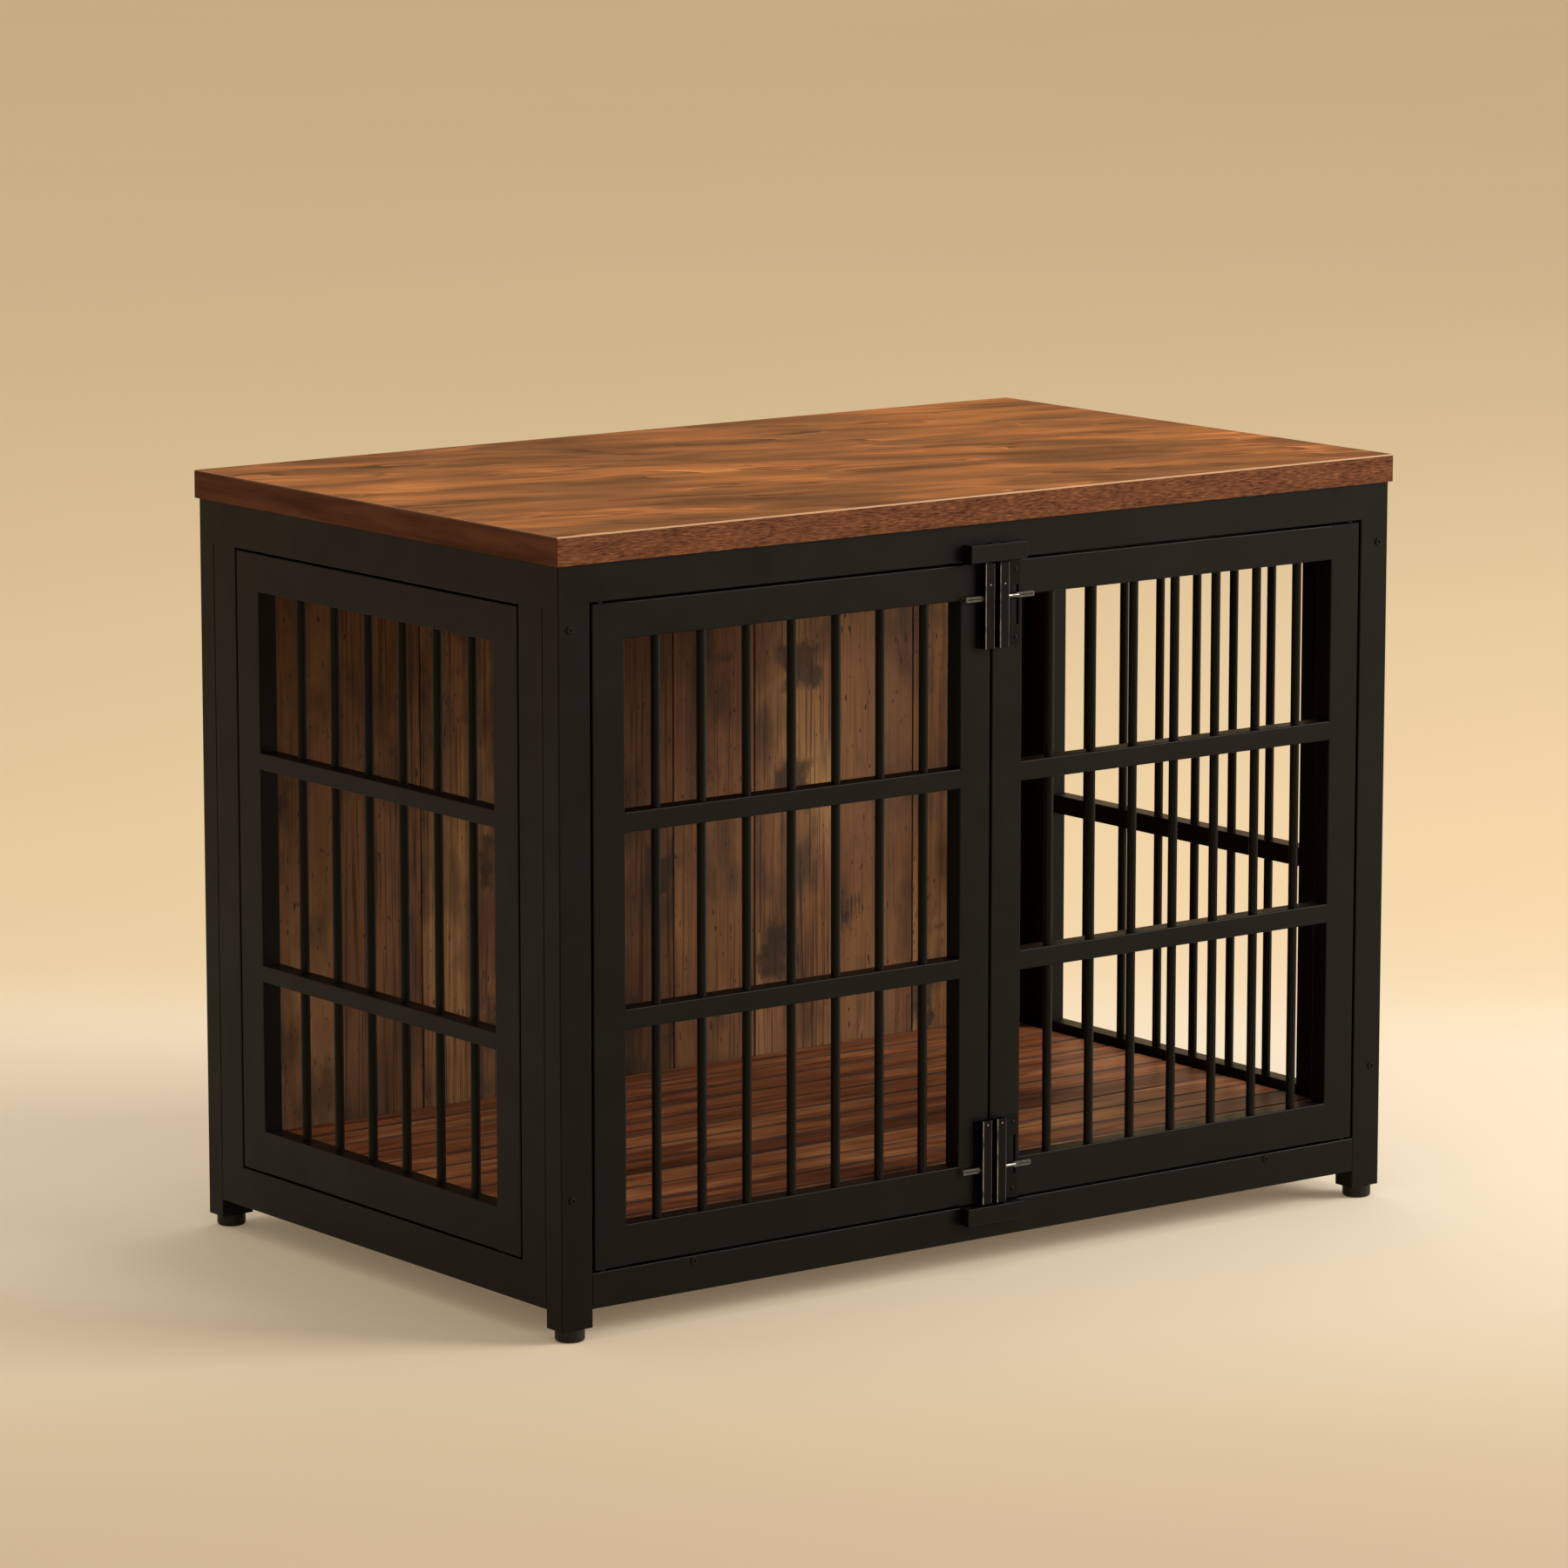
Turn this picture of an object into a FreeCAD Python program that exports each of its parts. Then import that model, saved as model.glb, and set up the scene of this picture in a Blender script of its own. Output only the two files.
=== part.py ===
import FreeCAD, Part
import math
import os

# A dog crate that is also an end table: a black steel tube frame with a wooden top,
# two barred doors in front, barred side panels, a planked back and a slatted floor.
# Millimetres. X runs along the front, Y from front to back, Z up. The origin is on
# the ground, under the middle of the frame.

# ---- Frame of posts and rails ----
frame_width = 1000.0              # over the posts, along X
frame_depth = 600.0               # over the posts, along Y
post_length = 708.0
post_width = 35.0                 # along X
post_depth = 25.0                 # along Y, and so the depth of the front and back rails
tube_wall = 1.5
tube_edge_radius = 1.2
rail_lift = 17.0                  # from the lower end of a post to the lowest rails
end_top_rail_height = 36.0        # rails over the doors and over the planks
end_bottom_rail_height = 34.0
side_top_rail_height = 42.0
side_bottom_rail_height = 39.5
side_tube_depth = 25.0            # side rails and side stiles, along X
side_stile_width = 38.0           # along Y

# ---- Table top ----
top_thickness = 27.0
top_overhang = 3.5
top_edge_radius = 1.5
bracket_leg = 22.0                # angle brackets that hold the top
bracket_thickness = 2.0
bracket_width = 30.0
bracket_offset = 300.0            # from the middle of the frame, along X

# ---- Feet ----
foot_height = 12.0
foot_radius = 14.0
foot_edge_radius = 3.0
foot_plug_length = 20.0

# ---- Doors ----
door_depth = 20.0
door_stile_width = 36.0
door_top_rail_height = 34.0
door_bottom_rail_height = 38.5
door_cross_rail_height = 19.0
door_upper_space = 160.0          # clear height over the upper cross rail
door_lower_space = 182.5          # clear height under the lower cross rail
door_end_gap = 2.0                # over and under a door
door_meeting_gap = 2.5            # between the two doors
door_bar_count = 7
door_bar_end_space = 39.0         # from a stile to the centre of the first bar

# ---- Hinge pins ----
pivot_inset = 10.0                # from a door's hinge edge to its pivot
pivot_setback = 6.0               # from the front faces to the pivot
hinge_sweep_clearance = 0.8       # left between the turning edge and the post
pin_radius = 3.0
pin_running_clearance = 0.05
pin_seat_clearance = 0.05
pin_seat_depth = 12.0             # pin inside the rail
pin_engagement = 12.0             # pin inside the door
pin_collar_radius = 4.8
pin_collar_clearance = 0.4        # under the door's end
end_plug_length = 18.0            # plastic plugs in the ends of the door stiles

# ---- Side panels ----
panel_depth = 20.0
panel_gap = 2.0                   # all round a panel, bridged by the lugs that carry it
panel_stile_width = 38.5
panel_top_rail_height = 36.5
left_panel_bottom_rail_height = 41.0
right_panel_bottom_rail_height = 28.0
panel_cross_rail_height = 16.5
panel_upper_space = 156.0         # clear height over the left panel's upper cross rail
panel_lower_space = 147.5         # clear height under its lower cross rail
right_panel_cross_rail_height = 19.0
right_panel_lower_space = 223.0   # clear height under the right panel's cross rail
panel_bar_count = 6
panel_bar_end_space = 53.0
lug_inset = 60.0                  # from the end of a panel stile to its lugs
lug_height = 20.0
lug_width = 8.0                   # along X

# ---- Bars ----
bar_radius = 4.5
bar_hole_clearance = 0.2          # where a bar passes through a cross rail
bar_wall_space = 0.3              # from that hole to the nearer wall of the tube

# ---- Back and floor ----
plank_count = 9
plank_thickness = 12.0
plank_joint = 1.0
plank_recess = 8.0                # from the back faces of the posts to the planks
wood_edge_radius = 1.0
floor_height = 78.0               # from the lower ends of the posts to the floor's upper face
strip_count = 12
strip_thickness = 12.0
strip_joint = 2.0
strip_end_clearance = 2.0         # from the floor to the frame, all round
bearer_height = 25.0
bearer_width = 30.0
bearer_offset = 350.0             # from the middle of the frame to the outer bearers

# ---- Slide bolts, their guides and keepers ----
guide_length = 81.0
guide_inset = 2.0                 # from a door's meeting edge to its guides
guide_plate_thickness = 1.5
guide_wall = 1.5
guide_bend_radius = 1.2           # outside, along the two front edges of the channel
channel_width = 11.0
channel_stand_off = 9.5           # front of the channel, from the door's face
left_plate_margin = 4.0           # plate beside the channel on the left door
right_plate_margin = 19.0         # plate beside the channel on the right door
bolt_clearance = 0.3              # round the bolt inside its channel
bolt_length = 55.0
bolt_tip_gap = 1.0                # from the drawn bolt to its keeper
bolt_engagement = 6.0             # bolt inside the keeper, when it is shot
bolt_withdrawal = 26.0            # travel the other way
bolt_edge_chamfer = 0.6
handle_setback = 33.0             # from a door's end to the handle's middle
handle_length = 21.0
handle_height = 5.0
handle_wire = 2.0
left_handle_offset = 0.0          # from the channel to the loop of the handle
right_handle_offset = 12.0
shank_radius = 1.5
slot_clearance = 0.6              # at each end of a slot, past the travel
follower_radius = 2.0
follower_tip_gap = 0.5            # from the follower to the door's face
plate_slot_width = 6.5
keeper_width = 68.0
keeper_height = 17.0
keeper_stand_off = 12.0
keeper_edge_radius = 0.8
socket_clearance = 0.5

# ---- Screws ----
screw_radius = 2.5
screw_length = 45.0
screw_head_radius = 3.8
screw_head_height = 1.5
screw_hole_clearance = 0.1
top_screw_length = 16.0
post_screw_low = 122.0            # from the lower end of a post
post_screw_drop = 59.0            # from the upper end of a post

left, right = -1, 1               # sides of the crate, as signs along X
low_end, high_end = -1, 1         # ends of a door, as signs along Z

# ---- Faces and levels that follow from the sizes above ----
half_width = frame_width / 2
y_front = -frame_depth / 2
y_back = frame_depth / 2
y_front_inner = y_front + post_depth
y_back_inner = y_back - post_depth
z_post = foot_height
z_frame_top = z_post + post_length
z_rail = z_post + rail_lift
z_end_low = z_rail + end_bottom_rail_height
z_end_high = z_frame_top - end_top_rail_height
z_side_low = z_rail + side_bottom_rail_height
z_side_high = z_frame_top - side_top_rail_height

x_post_inner = half_width - post_width
x_side_inner = half_width - side_tube_depth

hinge_gap = math.hypot(pivot_inset, pivot_setback) - pivot_inset + hinge_sweep_clearance
x_door_hinge = x_post_inner - hinge_gap
x_door_meeting = door_meeting_gap / 2
x_pivot = x_door_hinge - pivot_inset
y_pivot = y_front + pivot_setback
z_door_low = z_end_low + door_end_gap
z_door_high = z_end_high - door_end_gap

y_stile_front = y_front_inner + side_stile_width
y_stile_back = y_back_inner - side_stile_width
y_panel_front = y_stile_front + panel_gap
y_panel_back = y_stile_back - panel_gap
z_panel_low = z_side_low + panel_gap
z_panel_high = z_side_high - panel_gap
bar_setback = tube_wall + bar_wall_space + bar_hole_clearance + bar_radius  # from a tube's face

z_floor = z_post + floor_height
z_strip = z_floor - strip_thickness
z_bearer = z_strip - bearer_height

x_guide = x_door_meeting + guide_inset
bolt_width = channel_width - 2 * guide_wall - 2 * bolt_clearance
bolt_thickness = channel_stand_off - guide_plate_thickness - guide_wall - 2 * bolt_clearance
x_bolt = x_guide + guide_wall + bolt_clearance
y_bolt_back = y_front - guide_plate_thickness - bolt_clearance
y_bolt_front = y_bolt_back - bolt_thickness
y_bolt_middle = (y_bolt_back + y_bolt_front) / 2
bolt_throw = bolt_tip_gap + bolt_engagement


def save(name, *solids):
    """Writes one node: a single solid, or separate solids of the same kind."""
    shape = solids[0] if len(solids) == 1 else Part.makeCompound(list(solids))
    shape.exportStep("parts/" + name + ".step")


def box(x_span, y_span, z_span):
    """A block between two values along each axis, given in either order."""
    spans = [sorted(span) for span in (x_span, y_span, z_span)]
    sizes = [high - low for low, high in spans]
    return Part.makeBox(*sizes, FreeCAD.Vector(*[low for low, high in spans]))


def across(side, inner, outer):
    """A span along X on one side of the middle."""
    return (side * inner, side * outer)


def along(shape, axis):
    """The straight edges of a shape that run along one axis."""
    direction = FreeCAD.Vector(*axis)
    found = []
    for edge in shape.Edges:
        run = edge.Vertexes[-1].Point - edge.Vertexes[0].Point
        if run.Length and run.cross(direction).Length < edge_stray:
            found.append(edge)
    return found


axes = {"x": (1, 0, 0), "y": (0, 1, 0), "z": (0, 0, 1)}
edge_stray = 0.01                 # an edge along an axis leans less to the side than this


def tube(x_span, y_span, z_span, axis):
    """A rectangular steel tube, open at both ends, with rounded long edges."""
    outside = box(x_span, y_span, z_span)
    outside = outside.makeFillet(tube_edge_radius, along(outside, axes[axis]))
    inside = []
    for name, span in zip("xyz", (x_span, y_span, z_span)):
        margin = 0 if name == axis else tube_wall
        inside.append((min(span) + margin, max(span) - margin))
    return outside.cut(box(*inside))


def rod(radius, start, end):
    """A round rod from one point to another."""
    start, end = FreeCAD.Vector(*start), FreeCAD.Vector(*end)
    return Part.makeCylinder(radius, (end - start).Length, start, end - start)


def spread(low, high, count):
    """Evenly spaced values from low to high, both included."""
    step = (high - low) / (count - 1)
    return [low + step * place for place in range(count)]


def board(x_span, y_span, z_span, axis):
    """A wooden board with its long edges eased."""
    blank = box(x_span, y_span, z_span)
    return blank.makeFillet(wood_edge_radius, along(blank, axes[axis]))


# ---- Screws: where they are, and the holes that they need ----
def screw(head, direction, length):
    """A pan head screw: head is the point on the clamped face, direction points inwards."""
    head, direction = FreeCAD.Vector(*head), FreeCAD.Vector(*direction)
    cap = Part.makeCylinder(screw_head_radius, screw_head_height, head, direction * -1)
    return cap.fuse(Part.makeCylinder(screw_radius, length, head, direction)).removeSplitter()


def screw_hole(head, direction, length):
    head, direction = FreeCAD.Vector(*head), FreeCAD.Vector(*direction)
    return Part.makeCylinder(screw_radius + screw_hole_clearance, length, head, direction)


def screw_places():
    """The face point, inward direction and length of each screw in the frame."""
    places = []
    x_post_screw = half_width - side_tube_depth / 2
    z_bearer_screw = (z_bearer + z_end_low) / 2
    for y_face, inward in ((y_front, 1), (y_back, -1)):
        for side in (left, right):
            for z in (z_post + post_screw_low, z_frame_top - post_screw_drop):
                places.append(((side * x_post_screw, y_face, z), (0, inward, 0), screw_length))
            places.append(((side * bearer_offset, y_face, z_bearer_screw), (0, inward, 0), screw_length))
            y_bracket = y_face + inward * (post_depth + bracket_leg / 2)
            z_bracket = z_frame_top - bracket_thickness
            places.append(((side * bracket_offset, y_bracket, z_bracket), (0, 0, 1), top_screw_length))
    return places


screw_holes = Part.makeCompound([screw_hole(*place) for place in screw_places()])


# ---- Frame ----
def make_posts():
    for end, y_span in (("front", (y_front, y_front_inner)), ("back", (y_back_inner, y_back))):
        for name, side in (("left", left), ("right", right)):
            post = tube(across(side, x_post_inner, half_width), y_span, (z_post, z_frame_top), "z")
            save("post_" + end + "_" + name, post.cut(screw_holes))


def make_end_rails():
    """Rails between the posts, in front and at the back."""
    x_span = (-x_post_inner, x_post_inner)
    for end, y_span in (("front", (y_front, y_front_inner)), ("back", (y_back_inner, y_back))):
        high = tube(x_span, y_span, (z_end_high, z_frame_top), "x")
        low = tube(x_span, y_span, (z_rail, z_end_low), "x").cut(screw_holes)
        if end == "front":
            high, low = high.cut(pin_seats), low.cut(pin_seats)
        save(end + "_top_rail", high)
        save(end + "_bottom_rail", low)


def make_side_frames():
    """Rails between the front and back posts, and the stiles beside those posts."""
    y_span = (y_front_inner, y_back_inner)
    for name, side in (("left", left), ("right", right)):
        x_span = across(side, x_side_inner, half_width)
        save(name + "_top_rail", tube(x_span, y_span, (z_side_high, z_frame_top), "y"))
        save(name + "_bottom_rail", tube(x_span, y_span, (z_rail, z_side_low), "y"))
        for end, ends in (("front", (y_front_inner, y_stile_front)), ("back", (y_stile_back, y_back_inner))):
            stile = tube(x_span, ends, (z_side_low, z_side_high), "z")
            save(name + "_side_stile_" + end, stile.cut(screw_holes))


# ---- Barred frames: the doors and the side panels are built alike ----
def cross_rail(span_a, depth_span, z_span, axis, bars):
    """A tube across a barred frame, bored for the bars; axis is the one that it runs along."""
    spans = (span_a, depth_span) if axis == "x" else (depth_span, span_a)
    rail = tube(*spans, z_span, axis)
    holes = [rod(bar_radius + bar_hole_clearance, (x, y, z_span[0]), (x, y, z_span[1])) for x, y in bars]
    return rail.cut(Part.makeCompound(holes))


def bar_group(bars, z_low, z_high):
    return [rod(bar_radius, (x, y, z_low), (x, y, z_high)) for x, y in bars]


# ---- Side panels ----
def panel_stile(side, panel_face, opening, stile_face):
    """A stile between two values along Y, with two lugs that reach the side stile beside it."""
    x_inner = half_width - panel_depth
    stile = tube(across(side, x_inner, half_width), (panel_face, opening), (z_panel_low, z_panel_high), "z")
    x_lug = across(side, x_inner + tube_edge_radius, x_inner + tube_edge_radius + lug_width)
    for z_lug in (z_panel_low + lug_inset, z_panel_high - lug_inset - lug_height):
        stile = stile.fuse(box(x_lug, (panel_face, stile_face), (z_lug, z_lug + lug_height)))
    return stile.removeSplitter()


def make_side_panel(name, side, bottom_rail_height, cross_rails):
    """cross_rails lists each cross rail's node name and its lower and upper face."""
    x_span = across(side, half_width - panel_depth, half_width)
    y_open = (y_panel_front + panel_stile_width, y_panel_back - panel_stile_width)
    z_open = (z_panel_low + bottom_rail_height, z_panel_high - panel_top_rail_height)
    x_bar = side * (half_width - panel_depth + bar_setback)
    y_bars = spread(y_open[0] + panel_bar_end_space, y_open[1] - panel_bar_end_space, panel_bar_count)
    bars = [(x_bar, y) for y in y_bars]

    save(name + "_panel_front_stile", panel_stile(side, y_panel_front, y_open[0], y_stile_front))
    save(name + "_panel_back_stile", panel_stile(side, y_panel_back, y_open[1], y_stile_back))
    save(name + "_panel_top_rail", tube(x_span, y_open, (z_open[1], z_panel_high), "y"))
    save(name + "_panel_bottom_rail", tube(x_span, y_open, (z_panel_low, z_open[0]), "y"))
    for node, z_span in cross_rails(*z_open):
        save(node, cross_rail(y_open, x_span, z_span, "y", bars))
    save(name + "_panel_bars", *bar_group(bars, *z_open))


def left_cross_rails(z_low, z_high):
    z_upper = z_high - panel_upper_space
    z_lower = z_low + panel_lower_space
    return [("left_panel_upper_cross_rail", (z_upper - panel_cross_rail_height, z_upper)),
            ("left_panel_lower_cross_rail", (z_lower, z_lower + panel_cross_rail_height))]


def right_cross_rails(z_low, z_high):
    z_rail_low = z_low + right_panel_lower_space
    return [("right_panel_cross_rail", (z_rail_low, z_rail_low + right_panel_cross_rail_height))]


# ---- Doors ----
def make_door(name, side):
    y_span = (y_front, y_front + door_depth)
    x_open = (x_door_meeting + door_stile_width, x_door_hinge - door_stile_width)
    z_open = (z_door_low + door_bottom_rail_height, z_door_high - door_top_rail_height)
    y_bar = y_front + bar_setback
    x_bars = spread(x_open[0] + door_bar_end_space, x_open[1] - door_bar_end_space, door_bar_count)
    bars = [(side * x, y_bar) for x in x_bars]

    full_height = (z_door_low, z_door_high)
    x_rail = across(side, *x_open)
    x_hinge, x_meeting = across(side, x_open[1], x_door_hinge), across(side, x_door_meeting, x_open[0])
    save(name + "_door_hinge_stile", tube(x_hinge, y_span, full_height, "z"))
    save(name + "_door_meeting_stile", tube(x_meeting, y_span, full_height, "z"))
    save(name + "_door_top_rail", tube(x_rail, y_span, (z_open[1], z_door_high), "x"))
    save(name + "_door_bottom_rail", tube(x_rail, y_span, (z_door_low, z_open[0]), "x"))
    z_upper = z_open[1] - door_upper_space
    z_lower = z_open[0] + door_lower_space
    upper_span = (z_upper - door_cross_rail_height, z_upper)
    lower_span = (z_lower, z_lower + door_cross_rail_height)
    save(name + "_door_upper_cross_rail", cross_rail(x_rail, y_span, upper_span, "x", bars))
    save(name + "_door_lower_cross_rail", cross_rail(x_rail, y_span, lower_span, "x", bars))
    save(name + "_door_bars", *bar_group(bars, *z_open))
    make_end_plugs(name, side, x_open)


def make_end_plugs(name, side, x_open):
    """Plastic plugs that close the stiles; the two on the hinge side turn on the pins."""
    y_span = (y_front + tube_wall, y_front + door_depth - tube_wall)
    plugs = []
    for inner, outer in ((x_door_meeting, x_open[0]), (x_open[1], x_door_hinge)):
        x_span = across(side, inner + tube_wall, outer - tube_wall)
        for z_end, inward in ((z_door_low, 1), (z_door_high, -1)):
            plug = box(x_span, y_span, (z_end, z_end + inward * end_plug_length))
            if outer == x_door_hinge:
                bore_end = (side * x_pivot, y_pivot, z_end + inward * end_plug_length)
                bore = rod(pin_radius + pin_running_clearance, (side * x_pivot, y_pivot, z_end), bore_end)
                plug = plug.cut(bore)
            plugs.append(plug)
    save(name + "_door_end_plugs", *plugs)


# ---- Hinge pins, welded into the front rails ----
def pin_points(side, rail_face, inward):
    """Start in the rail, the rail's face, and the end in the door; inward points to the door."""
    x = side * x_pivot
    start = (x, y_pivot, rail_face - inward * pin_seat_depth)
    face = (x, y_pivot, rail_face)
    end = (x, y_pivot, rail_face + inward * (door_end_gap + pin_engagement))
    return start, face, end


pins, seats = [], []
for pin_side in (left, right):
    for rail_face, inward in ((z_end_low, 1), (z_end_high, -1)):
        start, face, end = pin_points(pin_side, rail_face, inward)
        collar_height = door_end_gap - pin_collar_clearance
        collar_top = (face[0], face[1], rail_face + inward * collar_height)
        collar = rod(pin_collar_radius, face, collar_top)
        pins.append(rod(pin_radius, start, end).fuse(collar).removeSplitter())
        seats.append(rod(pin_radius + pin_seat_clearance, start, face))
pin_seats = Part.makeCompound(seats)


# ---- Slide bolts ----
def latch_level(end, distance):
    """A height at some distance from a door's end, measured into the door."""
    return z_door_high - distance if end == high_end else z_door_low + distance


def latch_guide(side, end, plate_margin, plate_slot):
    """A base plate with a channel for the bolt, open at both ends, and slots for its handle."""
    z_span = (latch_level(end, 0), latch_level(end, guide_length))
    x_channel_end = x_guide + channel_width
    plate = box(across(side, x_guide, x_channel_end + plate_margin),
                (y_front - guide_plate_thickness, y_front), z_span)
    channel = box(across(side, x_guide, x_channel_end), (y_front - channel_stand_off, y_front), z_span)
    bends = [edge for edge in along(channel, axes["z"]) if edge.BoundBox.YMax < y_front - guide_wall]
    channel = channel.makeFillet(guide_bend_radius, bends)
    hollow = box(across(side, x_guide + guide_wall, x_channel_end - guide_wall),
                 (y_front - channel_stand_off + guide_wall, y_front - guide_plate_thickness), z_span)
    guide = plate.fuse(channel).cut(hollow)

    shank_reach = shank_radius + slot_clearance
    side_slot = box(across(side, x_channel_end - guide_wall, x_channel_end),
                    (y_bolt_middle - shank_reach, y_bolt_middle + shank_reach),
                    (latch_level(end, handle_setback - bolt_throw - shank_reach),
                     latch_level(end, handle_setback + bolt_withdrawal + shank_reach)))
    guide = guide.cut(side_slot)
    if plate_slot:
        follower_reach = follower_radius + slot_clearance
        x_slot = x_channel_end + right_handle_offset + follower_radius
        guide = guide.cut(box(across(side, x_slot - plate_slot_width / 2, x_slot + plate_slot_width / 2),
                              (y_front - guide_plate_thickness, y_front),
                              (latch_level(end, handle_setback - bolt_throw - follower_reach),
                               latch_level(end, handle_setback + bolt_withdrawal + follower_reach))))
    return guide.removeSplitter()


def slide_bolt(side, end, handle_offset, follower):
    """A flat bolt with a wire loop for a handle, drawn clear of its keeper."""
    tip = door_end_gap - bolt_tip_gap
    x_span = across(side, x_bolt, x_bolt + bolt_width)
    z_span = (latch_level(end, -tip), latch_level(end, bolt_length - tip))
    bar = box(x_span, (y_bolt_front, y_bolt_back), z_span)
    bar = bar.makeChamfer(bolt_edge_chamfer, along(bar, axes["z"]))

    z_handle = latch_level(end, handle_setback)
    x_loop = x_guide + channel_width + handle_offset
    shank = rod(shank_radius, (side * (x_bolt + bolt_width / 2), y_bolt_middle, z_handle),
                (side * (x_loop + handle_wire), y_bolt_middle, z_handle))
    y_loop = (y_bolt_middle - handle_wire / 2, y_bolt_middle + handle_wire / 2)
    loop = box(across(side, x_loop, x_loop + handle_length), y_loop,
               (z_handle - handle_height / 2, z_handle + handle_height / 2))
    loop = loop.makeFillet(handle_wire / 2, along(loop, axes["y"]))
    gap = handle_height / 2 - handle_wire
    eye = box(across(side, x_loop + 2 * handle_wire, x_loop + handle_length - handle_wire), y_loop,
              (z_handle - gap, z_handle + gap))
    bolt = bar.fuse([shank, loop.cut(eye)])
    if follower:
        x_follower = side * (x_loop + follower_radius)
        bolt = bolt.fuse(rod(follower_radius, (x_follower, y_bolt_middle, z_handle),
                             (x_follower, y_front - follower_tip_gap, z_handle)))
    return bolt.removeSplitter()


def make_latches(name, side, plate_margin, handle_offset, slotted):
    guides = [latch_guide(side, end, plate_margin, slotted) for end in (high_end, low_end)]
    save(name + "_latch_guides", *guides)
    for level, end in (("top", high_end), ("bottom", low_end)):
        save(name + "_" + level + "_bolt", slide_bolt(side, end, handle_offset, slotted))


def front_edges(block):
    """The four edges round the front face of a block."""
    return [edge for edge in block.Edges if edge.BoundBox.YMax < block.BoundBox.YMin + keeper_edge_radius]


def keeper(face, outward):
    """A block on a front rail with a slot through it for each bolt; outward points away from the door."""
    block = box((-keeper_width / 2, keeper_width / 2), (y_front - keeper_stand_off, y_front),
                (face, face + outward * keeper_height))
    block = block.makeFillet(keeper_edge_radius, front_edges(block))
    for side in (left, right):
        x_span = across(side, x_bolt - socket_clearance, x_bolt + bolt_width + socket_clearance)
        y_span = (y_bolt_front - socket_clearance, y_bolt_back + socket_clearance)
        block = block.cut(box(x_span, y_span, (face, face + outward * keeper_height)))
    return block


# ---- Table top, back, floor and feet ----
def make_table_top():
    half_x, half_y = half_width + top_overhang, frame_depth / 2 + top_overhang
    blank = box((-half_x, half_x), (-half_y, half_y), (z_frame_top, z_frame_top + top_thickness))
    eased = [edge for edge in blank.Edges if edge.BoundBox.ZMax > z_frame_top + top_thickness / 2]
    save("table_top", blank.makeFillet(top_edge_radius, eased).cut(screw_holes))


def make_top_brackets():
    brackets = []
    for y_face, inward in ((y_front_inner, 1), (y_back_inner, -1)):
        for side in (left, right):
            x_middle = side * bracket_offset
            x_span = (x_middle - bracket_width / 2, x_middle + bracket_width / 2)
            upright = box(x_span, (y_face, y_face + inward * bracket_thickness),
                          (z_frame_top - bracket_leg, z_frame_top))
            flange = box(x_span, (y_face, y_face + inward * bracket_leg),
                         (z_frame_top - bracket_thickness, z_frame_top))
            brackets.append(upright.fuse(flange).removeSplitter().cut(screw_holes))
    save("top_brackets", *brackets)


def make_back_planks():
    pitch = (2 * x_post_inner + plank_joint) / plank_count
    y_span = (y_back - plank_recess - plank_thickness, y_back - plank_recess)
    planks = []
    for place in range(plank_count):
        x_low = -x_post_inner + place * pitch
        planks.append(board((x_low, x_low + pitch - plank_joint), y_span, (z_end_low, z_end_high), "z"))
    save("back_planks", *planks)


def make_floor():
    x_end = x_side_inner - strip_end_clearance
    y_low, y_high = y_front_inner + strip_end_clearance, y_back_inner - strip_end_clearance
    pitch = (y_high - y_low + strip_joint) / strip_count
    strips = []
    for place in range(strip_count):
        y_strip = y_low + place * pitch
        y_span = (y_strip, y_strip + pitch - strip_joint)
        strips.append(board((-x_end, x_end), y_span, (z_strip, z_floor), "x"))
    save("floor_strips", *strips)

    bearers = []
    for x_middle in (-bearer_offset, 0, bearer_offset):
        x_span = (x_middle - bearer_width / 2, x_middle + bearer_width / 2)
        bearers.append(box(x_span, (y_front_inner, y_back_inner), (z_bearer, z_strip)).cut(screw_holes))
    save("floor_bearers", *bearers)


def make_feet():
    x_foot = half_width - post_width / 2
    y_foot = frame_depth / 2 - post_depth / 2
    plug_x, plug_y = post_width / 2 - tube_wall, post_depth / 2 - tube_wall
    feet = []
    for x in (-x_foot, x_foot):
        for y in (-y_foot, y_foot):
            disc = rod(foot_radius, (x, y, 0), (x, y, foot_height))
            rim = [edge for edge in disc.Edges if edge.BoundBox.ZMax < foot_edge_radius]
            disc = disc.makeFillet(foot_edge_radius, rim)
            plug = box((x - plug_x, x + plug_x), (y - plug_y, y + plug_y),
                       (foot_height, foot_height + foot_plug_length))
            feet.append(disc.fuse(plug).removeSplitter())
    save("feet", *feet)


os.makedirs("parts", exist_ok=True)
make_table_top()
make_top_brackets()
make_posts()
make_end_rails()
make_side_frames()
make_side_panel("left", left, left_panel_bottom_rail_height, left_cross_rails)
make_side_panel("right", right, right_panel_bottom_rail_height, right_cross_rails)
make_back_planks()
make_floor()
make_feet()
make_door("left", left)
make_door("right", right)
save("hinge_pins", *pins)
make_latches("left", left, left_plate_margin, left_handle_offset, False)
make_latches("right", right, right_plate_margin, right_handle_offset, True)
save("latch_keepers", keeper(z_end_high, 1), keeper(z_end_low, -1))
save("frame_screws", *[screw(*place) for place in screw_places()])
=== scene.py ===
import bmesh
import bpy
import math
from mathutils import Matrix, Vector


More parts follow.
